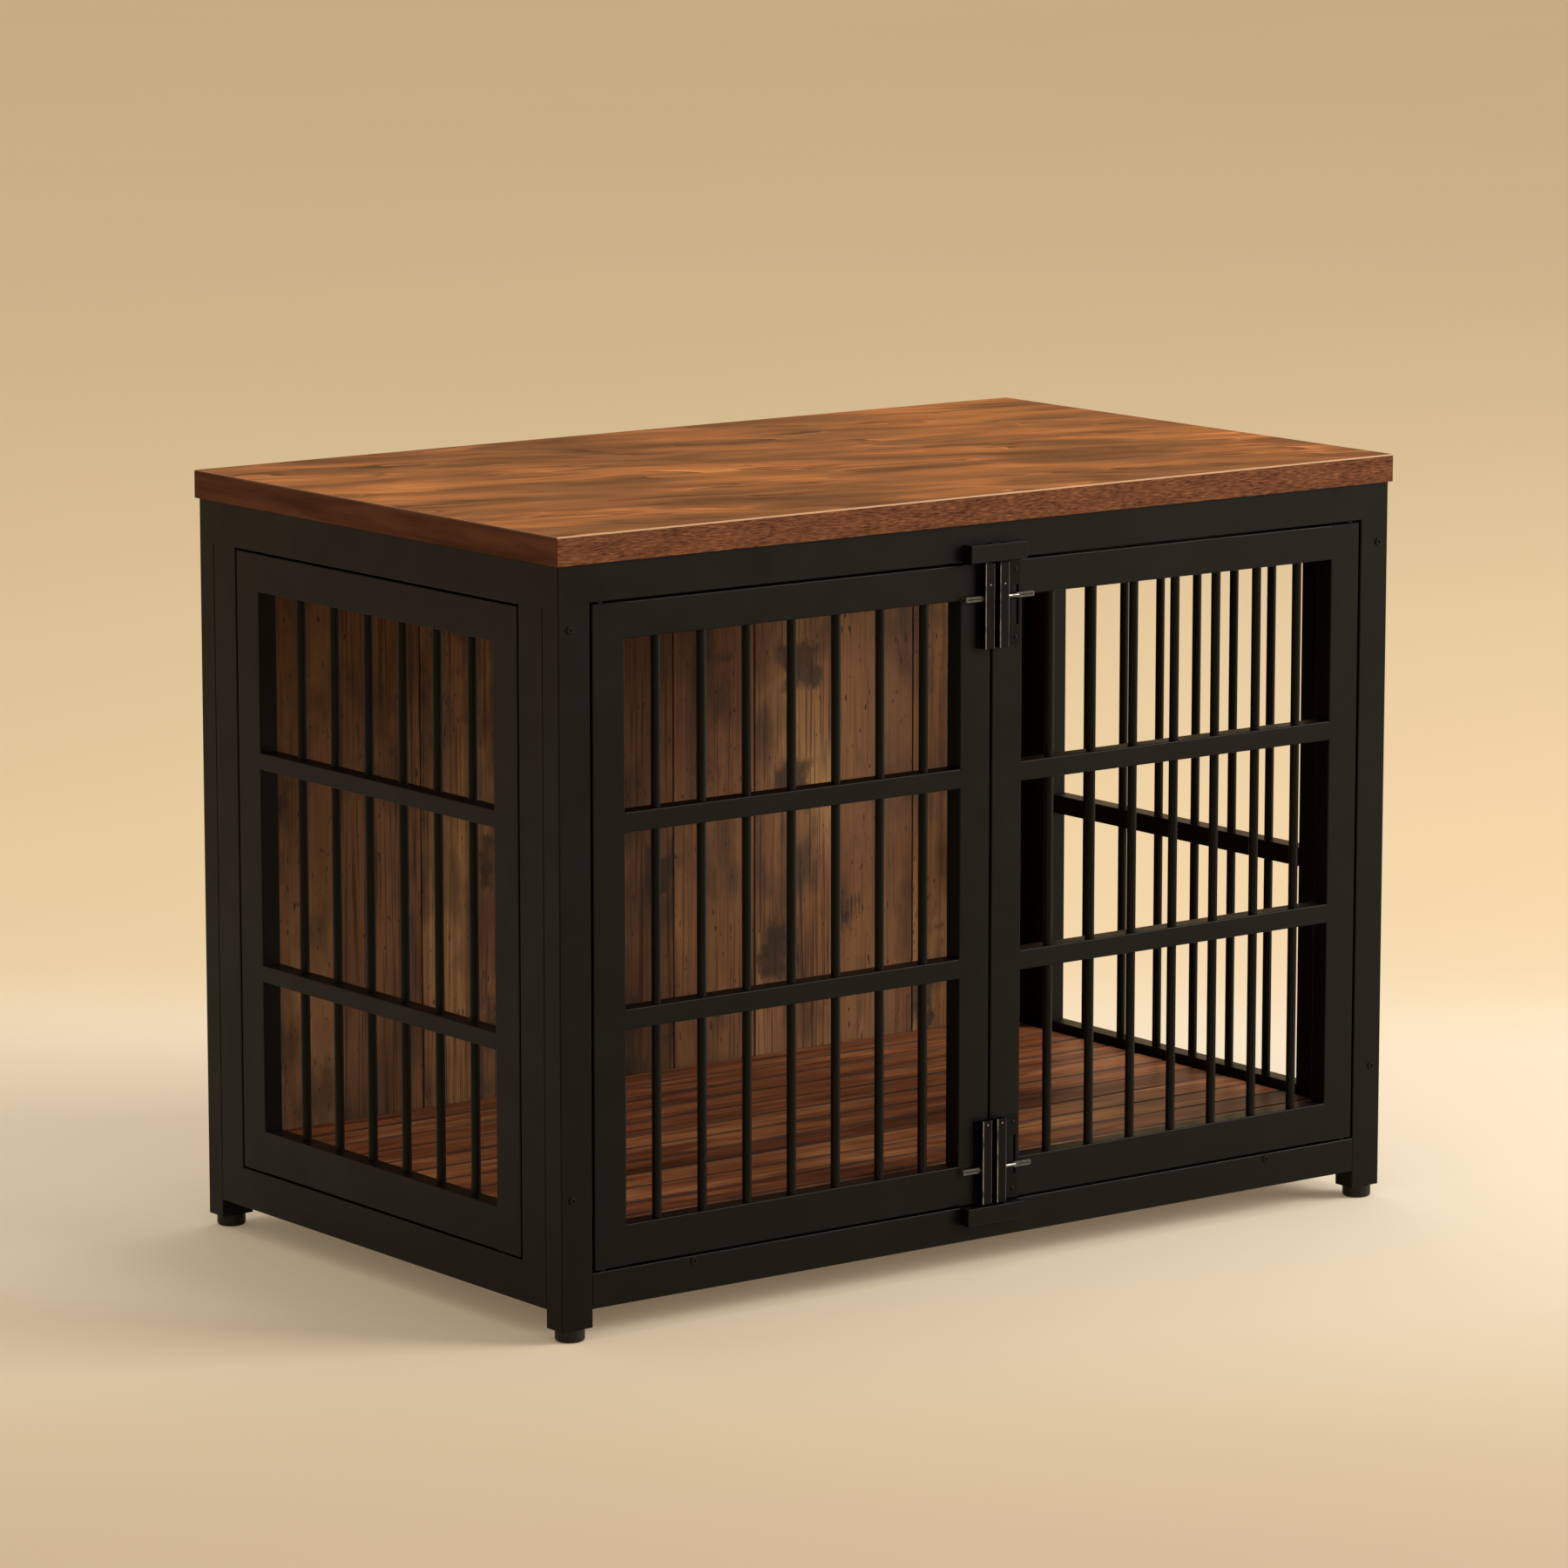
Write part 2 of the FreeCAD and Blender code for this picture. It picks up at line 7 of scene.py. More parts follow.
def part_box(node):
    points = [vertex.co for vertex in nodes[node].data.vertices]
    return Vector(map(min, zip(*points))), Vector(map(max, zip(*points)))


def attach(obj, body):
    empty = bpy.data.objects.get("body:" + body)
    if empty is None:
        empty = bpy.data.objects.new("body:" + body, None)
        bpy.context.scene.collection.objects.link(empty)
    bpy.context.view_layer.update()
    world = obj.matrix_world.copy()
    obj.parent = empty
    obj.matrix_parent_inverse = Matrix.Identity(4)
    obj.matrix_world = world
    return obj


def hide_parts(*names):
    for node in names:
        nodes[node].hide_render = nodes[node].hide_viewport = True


# A dog crate that is also an end table: black powder coated tube, wooden top, rustic planked back.
# Metres, in the crate's own frame: the front faces -Y and the ground is z = 0.
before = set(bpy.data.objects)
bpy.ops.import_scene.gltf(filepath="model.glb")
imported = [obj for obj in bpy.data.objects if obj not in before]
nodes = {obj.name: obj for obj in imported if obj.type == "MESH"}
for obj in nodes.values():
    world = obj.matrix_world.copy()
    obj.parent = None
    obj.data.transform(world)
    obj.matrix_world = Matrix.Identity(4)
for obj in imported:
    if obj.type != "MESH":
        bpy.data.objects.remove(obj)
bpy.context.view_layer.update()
print("stage: frame loaded,", len(nodes), "nodes")

mm = 0.001  # metres in a millimetre
noiseMiddle = (0.5, 0.5, 0.5)  # a noise colour swings evenly to both sides of this
sameSpot = 0.01 * mm  # nearer than this, two corners or radii are the same


def linearColour(hexColour):  # sRGB hex to linear
    channels = [int(hexColour[i:i + 2], 16) / 255 for i in (1, 3, 5)]
    return tuple(c / 12.92 if c <= 0.04045 else ((c + 0.055) / 1.055) ** 2.4 for c in channels) + (1.0,)


def patternScale(x, y, z):  # makes one noise unit this many millimetres long on each axis
    return (1000 / x, 1000 / y, 1000 / z)


def addNode(tree, kind, sockets=None, stops=None, **settings):
    node = tree.nodes.new("ShaderNode" + kind)
    for name, value in settings.items():
        setattr(node, name, value)
    for name, value in (sockets or {}).items():
        if isinstance(value, bpy.types.NodeSocket):
            tree.links.new(value, node.inputs[name])
        else:
            node.inputs[name].default_value = value
    if stops:  # a colour ramp's stops: place and hex colour
        ramp = node.color_ramp.elements
        while len(ramp) < len(stops):
            ramp.new(1.0)
        for element, (place, colour) in zip(ramp, stops):
            element.position = place
            element.color = linearColour(colour)
    return node


def newMaterial(name, **sockets):  # the sockets are constants, set on the shader itself
    material = bpy.data.materials.new(name)
    material.use_nodes = True
    tree = material.node_tree
    tree.nodes.clear()
    shader = addNode(tree, "BsdfPrincipled", {key.replace("_", " "): value for key, value in sockets.items()})
    addNode(tree, "OutputMaterial", {"Surface": shader.outputs[0]})
    return material, tree, shader, addNode(tree, "TexCoord").outputs


def coat(nodeNames, material):
    for name in nodeNames:
        for slot in nodes[name].material_slots:
            slot.material = material


def finishPiece(mesh, name, material, body, replaced=()):
    bmesh.ops.recalc_face_normals(mesh, faces=mesh.faces)
    data = bpy.data.meshes.new(name)
    mesh.to_mesh(data)
    mesh.free()
    data.materials.append(material)
    piece = bpy.data.objects.new(name, data)
    bpy.context.scene.collection.objects.link(piece)
    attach(piece, body)
    if replaced:
        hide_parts(*replaced)


# Polyester powder coat, sprayed and baked on steel tube. It gives a matt black with a soft grey sheen,
# a faint orange peel (drawn a little coarser than real, so that it shows) and thin light lines along edges.
powderCoat = {
    "colour": "#070807", "brown": "#0b0906", "patchMm": 260, "sheenMm": 40, "sheenFromTo": (0.3, 0.7),
    "rough": (0.33, 0.44), "peelMm": 3.0, "peelDepthMm": 0.03, "peelStrength": 0.5, "gloss": 0.12,
}


def makePowderCoat(settings):
    material, tree, shader, place = newMaterial("polyester powder coat, baked, black", IOR=1.5,
                                                Specular_IOR_Level=settings["gloss"])
    patch = addNode(tree, "TexNoise", {"Vector": place["Object"], "Scale": 1000 / settings["patchMm"],
                                       "Detail": 2.0})
    tint = addNode(tree, "Mix", {0: patch.outputs["Fac"], 6: linearColour(settings["colour"]),
                                 7: linearColour(settings["brown"])}, data_type="RGBA")
    tree.links.new(tint.outputs[2], shader.inputs["Base Color"])
    sheen = addNode(tree, "TexNoise", {"Vector": place["Object"], "Scale": 1000 / settings["sheenMm"],
                                       "Detail": 3.0})
    sheenLow, sheenHigh = settings["sheenFromTo"]
    smooth, dull = settings["rough"]
    rough = addNode(tree, "MapRange", {"Value": sheen.outputs["Fac"], "From Min": sheenLow,
                                       "From Max": sheenHigh, "To Min": smooth, "To Max": dull})
    tree.links.new(rough.outputs[0], shader.inputs["Roughness"])
    peel = addNode(tree, "TexNoise", {"Vector": place["Object"], "Scale": 1000 / settings["peelMm"],
                                      "Detail": 1.0})
    bump = addNode(tree, "Bump", {"Height": peel.outputs["Fac"], "Strength": settings["peelStrength"],
                                  "Distance": settings["peelDepthMm"] * mm})
    tree.links.new(bump.outputs[0], shader.inputs["Normal"])
    return material


# Melamine faced board, pressed matt. The face has a wavy brown figure with fine ripples, the front and
# back edges show open grain in short dark dashes, and the end edges are smooth. The eased top edge is
# painted pale, a painted highlight.
# A ripple is a dark line with a bright one beside it, and #bcbcbc leaves the figure as it is.
topBoard = {
    "figure": [(0.3, "#5b3a20"), (0.42, "#7a4f2e"), (0.5, "#8f5c34"), (0.58, "#ab6a38"), (0.72, "#c27d45")],
    "turn": 15, "warpMm": 210, "warpReachM": 0.075, "figureMm": (190, 50, 50), "cloudMm": (520, 200, 50),
    "cloudShare": 0.35, "rippleMm": (200, 27, 50), "rippleMaskMm": (210, 70, 50),
    "rippleMask": (0.42, 0.6), "ripplePower": 1.0,
    "ripple": [(0.4, "#bcbcbc"), (0.46, "#8e8e8e"), (0.495, "#7a7a7a"), (0.51, "#eeeeee"),
               (0.525, "#e4e4e4"), (0.57, "#bcbcbc")],
    "fibreMm": (90, 2.4, 50), "fibrePower": 0.6,
    "edge": [(0.34, "#3c2012"), (0.44, "#623b25"), (0.55, "#74492f"), (0.68, "#94613f")],
    "poreMm": (10, 1.2, 50), "edgeBandMm": (60, 8, 50), "edgeBandShare": 0.25,
    "end": [(0.35, "#4e2b19"), (0.65, "#693f28")], "endMm": (120, 14, 50),
    "faceCosine": 0.97, "endCosine": 0.5, "paintedHighlight": "#e6bf9a", "paintedHighlightMm": 1.4, "paintedHighlightLong": 0.7, "paintedHighlightEnds": 0.12,
    "darkRough": 0.66, "paleRough": 0.5, "roughFromTo": (0.3, 0.7), "reliefMm": 0.1, "reliefStrength": 0.35,
    "gloss": 0.05,
}


def makeTopBoard(settings):
    material, tree, shader, place = newMaterial("melamine faced board, pressed, brown figure",
                                                IOR=1.5, Specular_IOR_Level=settings["gloss"])
    turned = addNode(tree, "Mapping", {"Vector": place["Object"],
                                       "Rotation": (0, 0, math.radians(settings["turn"]))})
    warp = addNode(tree, "TexNoise", {"Vector": turned.outputs[0], "Scale": 1000 / settings["warpMm"],
                                      "Detail": 2.0})
    centred = addNode(tree, "VectorMath", {0: warp.outputs["Color"], 1: noiseMiddle}, operation="SUBTRACT")
    pushed = addNode(tree, "VectorMath", {0: centred.outputs[0], "Scale": settings["warpReachM"]},
                     operation="SCALE")
    wavy = addNode(tree, "VectorMath", {0: turned.outputs[0], 1: pushed.outputs[0]}, operation="ADD")
    onFace = {name: addNode(tree, "VectorMath", {0: wavy.outputs[0], 1: patternScale(*settings[name])},
                            operation="MULTIPLY").outputs[0]
              for name in ("figureMm", "cloudMm", "rippleMm", "rippleMaskMm", "fibreMm")}

    figure = addNode(tree, "TexNoise", {"Vector": onFace["figureMm"], "Scale": 1.0, "Detail": 3.0,
                                        "Roughness": 0.45, "Distortion": 0.5})
    cloud = addNode(tree, "TexNoise", {"Vector": onFace["cloudMm"], "Scale": 1.0, "Detail": 1.0})
    figureSum = addNode(tree, "Mix", {0: settings["cloudShare"], 2: figure.outputs["Fac"],
                                      3: cloud.outputs["Fac"]})
    figureColour = addNode(tree, "ValToRGB", {"Fac": figureSum.outputs[0]}, stops=settings["figure"])

    # ripples, where the mask lets them show
    ripple = addNode(tree, "TexNoise", {"Vector": onFace["rippleMm"], "Scale": 1.0, "Detail": 1.0,
                                        "Distortion": 0.6})
    rippleTone = addNode(tree, "ValToRGB", {"Fac": ripple.outputs["Fac"]}, stops=settings["ripple"])
    mask = addNode(tree, "TexNoise", {"Vector": onFace["rippleMaskMm"], "Scale": 1.0, "Detail": 2.0})
    hidden, shown = settings["rippleMask"]
    maskShare = addNode(tree, "MapRange", {"Value": mask.outputs["Fac"], "From Min": hidden,
                                           "From Max": shown, "To Max": settings["ripplePower"]})
    rippled = addNode(tree, "Mix", {0: maskShare.outputs[0], 6: figureColour.outputs[0],
                                    7: rippleTone.outputs[0]}, data_type="RGBA", blend_type="OVERLAY")
    fibre = addNode(tree, "TexNoise", {"Vector": onFace["fibreMm"], "Scale": 1.0, "Detail": 2.0})
    face = addNode(tree, "Mix", {0: settings["fibrePower"], 6: rippled.outputs[2], 7: fibre.outputs["Fac"]},
                   data_type="RGBA", blend_type="SOFT_LIGHT")

    # the edge strips: grain runs along each edge, whichever way that edge goes
    axes = addNode(tree, "SeparateXYZ", {0: place["Object"]})
    normal = addNode(tree, "SeparateXYZ", {0: place["Normal"]})
    lengthwise = addNode(tree, "Math", {0: axes.outputs["X"], 1: axes.outputs["Y"]}, operation="ADD")
    strip = addNode(tree, "CombineXYZ", {"X": lengthwise.outputs[0], "Y": axes.outputs["Z"]})
    onStrip = {name: addNode(tree, "VectorMath", {0: strip.outputs[0], 1: patternScale(*settings[name])},
                             operation="MULTIPLY").outputs[0] for name in ("poreMm", "edgeBandMm", "endMm")}
    pore = addNode(tree, "TexNoise", {"Vector": onStrip["poreMm"], "Scale": 1.0, "Detail": 2.0,
                                      "Distortion": 0.5})
    band = addNode(tree, "TexNoise", {"Vector": onStrip["edgeBandMm"], "Scale": 1.0, "Detail": 3.0})
    grain = addNode(tree, "Mix", {0: settings["edgeBandShare"], 2: pore.outputs["Fac"],
                                  3: band.outputs["Fac"]})
    edgeColour = addNode(tree, "ValToRGB", {"Fac": grain.outputs[0]}, stops=settings["edge"])
    end = addNode(tree, "TexNoise", {"Vector": onStrip["endMm"], "Scale": 1.0, "Detail": 3.0})
    endColour = addNode(tree, "ValToRGB", {"Fac": end.outputs["Fac"]}, stops=settings["end"])
    sideways = addNode(tree, "Math", {0: normal.outputs["X"]}, operation="ABSOLUTE")
    isEnd = addNode(tree, "Math", {0: sideways.outputs[0], 1: settings["endCosine"]},
                    operation="GREATER_THAN")
    edges = addNode(tree, "Mix", {0: isEnd.outputs[0], 6: edgeColour.outputs[0], 7: endColour.outputs[0]},
                    data_type="RGBA")
    isFace = addNode(tree, "Math", {0: normal.outputs["Z"], 1: settings["faceCosine"]},
                     operation="GREATER_THAN")
    surface = addNode(tree, "Mix", {0: isFace.outputs[0], 6: edges.outputs[2], 7: face.outputs[2]},
                      data_type="RGBA")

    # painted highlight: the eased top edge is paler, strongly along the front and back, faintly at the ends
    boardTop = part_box("table_top")[1].z
    nearTop = addNode(tree, "Math", {0: axes.outputs["Z"], 1: boardTop - settings["paintedHighlightMm"] * mm},
                      operation="GREATER_THAN")
    offFace = addNode(tree, "Math", {0: 1.0, 1: isFace.outputs[0]}, operation="SUBTRACT")
    eased = addNode(tree, "Math", {0: nearTop.outputs[0], 1: offFace.outputs[0]}, operation="MULTIPLY")
    paintedHighlightPerEdge = addNode(tree, "MapRange", {"Value": isEnd.outputs[0], "To Min": settings["paintedHighlightLong"],
                                           "To Max": settings["paintedHighlightEnds"]})
    paintedHighlight = addNode(tree, "Math", {0: eased.outputs[0], 1: paintedHighlightPerEdge.outputs[0]}, operation="MULTIPLY")
    finished = addNode(tree, "Mix", {0: paintedHighlight.outputs[0], 6: surface.outputs[2],
                                     7: linearColour(settings["paintedHighlight"])}, data_type="RGBA")
    tree.links.new(finished.outputs[2], shader.inputs["Base Color"])
    roughFrom, roughTo = settings["roughFromTo"]
    rough = addNode(tree, "MapRange", {"Value": figureSum.outputs[0], "From Min": roughFrom,
                                       "From Max": roughTo, "To Min": settings["darkRough"],
                                       "To Max": settings["paleRough"]})
    tree.links.new(rough.outputs[0], shader.inputs["Roughness"])
    relief = addNode(tree, "Mix", {0: isFace.outputs[0], 2: pore.outputs["Fac"], 3: fibre.outputs["Fac"]})
    bump = addNode(tree, "Bump", {"Height": relief.outputs[0], "Strength": settings["reliefStrength"],
                                  "Distance": settings["reliefMm"] * mm})
    tree.links.new(bump.outputs[0], shader.inputs["Normal"])
    return material


# For boards laid side by side: each board's own random draws, and how far a point is from its board's
# middle (0) towards its edges (0.5).
def countBoards(tree, position, start, pitch):
    fromFirst = addNode(tree, "Math", {0: position, 1: start}, operation="SUBTRACT")
    pitches = addNode(tree, "Math", {0: fromFirst.outputs[0], 1: pitch}, operation="DIVIDE")
    number = addNode(tree, "Math", {0: pitches.outputs[0]}, operation="FLOOR")
    draw = addNode(tree, "TexWhiteNoise", {"W": number.outputs[0]}, noise_dimensions="1D")
    across = addNode(tree, "Math", {0: pitches.outputs[0]}, operation="FRACT")
    fromMiddle = addNode(tree, "Math", {0: across.outputs[0], 1: 0.5}, operation="SUBTRACT")
    toEdge = addNode(tree, "Math", {0: fromMiddle.outputs[0]}, operation="ABSOLUTE")
    return draw.outputs, toEdge.outputs[0]


# Pine planks, brushed, stained and sealed to look old: upright grain that stands out on some planks,
# knots, dark smudges like old nail stains, short splits, and a tone of its own for each plank.
planks = {
    "count": 9, "joint": 1.0, "shift": (1.7, 0.3, 2.3), "gloss": 0.2, "rough": (0.5, 0.7),
    "tone": [(0.28, "#5c3f29"), (0.42, "#7c5538"), (0.56, "#916642"), (0.72, "#b78a5a")],
    "toneMm": (95, 95, 260), "plankShare": 0.2,
    "line": "#2e1a10", "grainMm": (2.5, 2.5, 150), "grainDark": (0.5, 0.64), "grainPatchMm": (70, 70, 210),
    "patchDrawShare": 0.45, "patchFromTo": (0.3, 0.6), "patchPower": (0.12, 0.8),
    "ringMm": (26, 26, 240), "ringDark": (0.62, 1.0), "ringDraw": (0.5, 0.9), "ringPower": 0.35,
    "splitMm": (3.2, 3.2, 13), "splitDark": (0.69, 0.74), "splitPower": 0.9,
    "haze": "#35281f", "hazeMm": (55, 55, 120), "hazeFromTo": (0.47, 0.68), "hazePower": 0.75,
    "smudge": "#2c2620", "smudgeMm": (88, 88, 96), "smudgeFromTo": (0.34, 0.26), "smudgePower": 0.78,
    "smudgeGrainShare": 0.3, "smudgeLeftOut": 0.42, "frayMm": 26, "frayReachM": 0.055,
    "knot": "#1d130d", "knotMm": (118, 118, 120), "knotSplitShare": 0.12, "knotLeftOut": 0.5,
    "knotRings": [(0.1, "#ffffff"), (0.135, "#dddddd"), (0.15, "#666666"), (0.165, "#c8c8c8"),
                  (0.185, "#3a3a3a"), (0.205, "#8a8a8a"), (0.24, "#000000")],
    "joinMm": 1.4, "joinPower": 0.55, "reliefMm": 0.3, "reliefStrength": 0.5,
}


def makePlankWood(settings):
    material, tree, shader, place = newMaterial("pine planks, brushed, stained and sealed",
                                                IOR=1.5, Specular_IOR_Level=settings["gloss"])
    low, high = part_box("back_planks")
    pitch = (high.x - low.x + settings["joint"] * mm) / settings["count"]
    axes = addNode(tree, "SeparateXYZ", {0: place["Object"]})
    draw, toEdge = countBoards(tree, axes.outputs["X"], low.x, pitch)
    draws = addNode(tree, "SeparateColor", {0: draw["Color"]})
    shift = addNode(tree, "VectorMath", {0: draw["Color"], 1: settings["shift"]}, operation="MULTIPLY")
    own = addNode(tree, "VectorMath", {0: place["Object"], 1: shift.outputs[0]}, operation="ADD")
    onPlank = {name: addNode(tree, "VectorMath", {0: own.outputs[0], 1: patternScale(*settings[name])},
                             operation="MULTIPLY").outputs[0]
               for name in ("toneMm", "grainMm", "grainPatchMm", "ringMm", "splitMm", "hazeMm", "knotMm")}

    tone = addNode(tree, "TexNoise", {"Vector": onPlank["toneMm"], "Scale": 1.0, "Detail": 4.0,
                                      "Roughness": 0.55})
    toneSum = addNode(tree, "Mix", {0: settings["plankShare"], 2: tone.outputs["Fac"],
                                    3: draws.outputs["Red"]})
    colour = addNode(tree, "ValToRGB", {"Fac": toneSum.outputs[0]}, stops=settings["tone"])

    # grain lines, strong in patches
    grain = addNode(tree, "TexNoise", {"Vector": onPlank["grainMm"], "Scale": 1.0, "Detail": 2.5,
                                       "Distortion": 0.4})
    faint, strong = settings["grainDark"]
    grainDark = addNode(tree, "MapRange", {"Value": grain.outputs["Fac"], "From Min": faint,
                                           "From Max": strong})
    patch = addNode(tree, "TexNoise", {"Vector": onPlank["grainPatchMm"], "Scale": 1.0, "Detail": 2.0})
    patchSum = addNode(tree, "Mix", {0: settings["patchDrawShare"], 2: patch.outputs["Fac"],
                                     3: draws.outputs["Green"]})
    faint, strong = settings["patchFromTo"]
    weakest, strongest = settings["patchPower"]
    patchShare = addNode(tree, "MapRange", {"Value": patchSum.outputs[0], "From Min": faint,
                                            "From Max": strong, "To Min": weakest, "To Max": strongest})
    grainLine = addNode(tree, "Math", {0: grainDark.outputs[0], 1: patchShare.outputs[0]},
                        operation="MULTIPLY")

    # wide cathedral rings on some planks, and short splits
    rings = addNode(tree, "TexWave", {"Vector": onPlank["ringMm"], "Scale": 0.5, "Distortion": 5.0,
                                      "Detail": 2.0, "Detail Scale": 0.6, "Detail Roughness": 0.5},
                    bands_direction="X")
    faint, strong = settings["ringDark"]
    ringDark = addNode(tree, "MapRange", {"Value": rings.outputs["Fac"], "From Min": faint,
                                          "From Max": strong})
    without, full = settings["ringDraw"]
    ringShare = addNode(tree, "MapRange", {"Value": draws.outputs["Blue"], "From Min": without,
                                           "From Max": full, "To Max": settings["ringPower"]})
    ringLine = addNode(tree, "Math", {0: ringDark.outputs[0], 1: ringShare.outputs[0]}, operation="MULTIPLY")
    split = addNode(tree, "TexNoise", {"Vector": onPlank["splitMm"], "Scale": 1.0, "Detail": 1.0})
    faint, strong = settings["splitDark"]
    splitDark = addNode(tree, "MapRange", {"Value": split.outputs["Fac"], "From Min": faint,
                                           "From Max": strong, "To Max": settings["splitPower"]})
    softLines = addNode(tree, "Math", {0: ringLine.outputs[0], 1: grainLine.outputs[0]}, operation="MAXIMUM")
    lines = addNode(tree, "Math", {0: softLines.outputs[0], 1: splitDark.outputs[0]}, operation="MAXIMUM")
    lined = addNode(tree, "Mix", {0: lines.outputs[0], 6: colour.outputs[0],
                                  7: linearColour(settings["line"])}, data_type="RGBA")

    # a brown haze, then smudges with frayed edges
    haze = addNode(tree, "TexNoise", {"Vector": onPlank["hazeMm"], "Scale": 1.0, "Detail": 3.0,
                                      "Roughness": 0.6})
    faint, strong = settings["hazeFromTo"]
    hazeShare = addNode(tree, "MapRange", {"Value": haze.outputs["Fac"], "From Min": faint,
                                           "From Max": strong, "To Max": settings["hazePower"]})
    hazed = addNode(tree, "Mix", {0: hazeShare.outputs[0], 6: lined.outputs[2],
                                  7: linearColour(settings["haze"])}, data_type="RGBA")
    fray = addNode(tree, "TexNoise", {"Vector": own.outputs[0], "Scale": 1000 / settings["frayMm"],
                                      "Detail": 3.0})
    centred = addNode(tree, "VectorMath", {0: fray.outputs["Color"], 1: noiseMiddle}, operation="SUBTRACT")
    pushed = addNode(tree, "VectorMath", {0: centred.outputs[0], "Scale": settings["frayReachM"]},
                     operation="SCALE")
    ragged = addNode(tree, "VectorMath", {0: own.outputs[0], 1: pushed.outputs[0]}, operation="ADD")
    smudgePlace = addNode(tree, "VectorMath", {0: ragged.outputs[0], 1: patternScale(*settings["smudgeMm"])},
                          operation="MULTIPLY")
    smudge = addNode(tree, "TexVoronoi", {"Vector": smudgePlace.outputs[0], "Scale": 1.0},
                     distance="CHEBYCHEV")
    frayed = addNode(tree, "Mix", {0: settings["smudgeGrainShare"], 2: smudge.outputs["Distance"],
                                   3: grain.outputs["Fac"]})
    rim, core = settings["smudgeFromTo"]
    smudgeDark = addNode(tree, "MapRange", {"Value": frayed.outputs[0], "From Min": rim, "From Max": core,
                                            "To Max": settings["smudgePower"]})
    smudgeDraws = addNode(tree, "SeparateColor", {0: smudge.outputs["Color"]})
    smudgeKept = addNode(tree, "Math", {0: smudgeDraws.outputs["Green"], 1: settings["smudgeLeftOut"]},
                         operation="GREATER_THAN")
    smudgeShare = addNode(tree, "Math", {0: smudgeDark.outputs[0], 1: smudgeKept.outputs[0]},
                          operation="MULTIPLY")
    smudged = addNode(tree, "Mix", {0: smudgeShare.outputs[0], 6: hazed.outputs[2],
                                    7: linearColour(settings["smudge"])}, data_type="RGBA")

    # knots with rings round them
    knot = addNode(tree, "TexVoronoi", {"Vector": onPlank["knotMm"], "Scale": 1.0})
    knotRagged = addNode(tree, "Mix", {0: settings["knotSplitShare"], 2: knot.outputs["Distance"],
                                       3: split.outputs["Fac"]})
    knotRings = addNode(tree, "ValToRGB", {"Fac": knotRagged.outputs[0]}, stops=settings["knotRings"])
    knotDraws = addNode(tree, "SeparateColor", {0: knot.outputs["Color"]})
    knotKept = addNode(tree, "Math", {0: knotDraws.outputs["Red"], 1: settings["knotLeftOut"]},
                       operation="GREATER_THAN")
    knotShare = addNode(tree, "Math", {0: knotRings.outputs[0], 1: knotKept.outputs[0]},
                        operation="MULTIPLY")
    knotted = addNode(tree, "Mix", {0: knotShare.outputs[0], 6: smudged.outputs[2],
                                    7: linearColour(settings["knot"])}, data_type="RGBA")

    # darker within joinMm of each joint between the planks
    edgeStart = 0.5 - settings["joinMm"] * mm / pitch
    nearJointDarkening = addNode(tree, "MapRange", {"Value": toEdge, "From Min": edgeStart, "From Max": 0.5,
                                      "To Max": settings["joinPower"]})
    finished = addNode(tree, "Mix", {0: nearJointDarkening.outputs[0], 6: knotted.outputs[2],
                                     7: linearColour(settings["knot"])}, data_type="RGBA")
    tree.links.new(finished.outputs[2], shader.inputs["Base Color"])
    smooth, dull = settings["rough"]
    rough = addNode(tree, "MapRange", {"Value": grain.outputs["Fac"], "To Min": smooth, "To Max": dull})
    tree.links.new(rough.outputs[0], shader.inputs["Roughness"])
    bump = addNode(tree, "Bump", {"Height": lines.outputs[0], "Strength": settings["reliefStrength"],
                                  "Distance": -settings["reliefMm"] * mm})
    tree.links.new(bump.outputs[0], shader.inputs["Normal"])
    return material


# Floor slats: planed softwood, stained red brown and sealed satin. Wavy dark and orange streaks run along
# each slat, and each slat is darkened along its edges, a painted shade of the joints.
slats = {
    "count": 12, "joint": 2.0, "shift": (1.9, 0.6, 0.0), "gloss": 0.22, "rough": (0.36, 0.52),
    "tone": [(0.32, "#653923"), (0.45, "#935636"), (0.57, "#b36f46"), (0.72, "#d0905e")],
    "figureMm": (170, 26, 100), "slatShare": 0.25, "grainMm": (60, 2.2, 100), "grainPower": 0.5,
    "streak": "#331a0f", "streakMm": (130, 7, 100), "streakFromTo": (0.52, 0.66), "streakPower": 0.65,
    "edge": "#180d08", "jointShadeMm": 4.5, "jointShadePower": 0.9, "reliefMm": 0.1, "reliefStrength": 0.25,
}


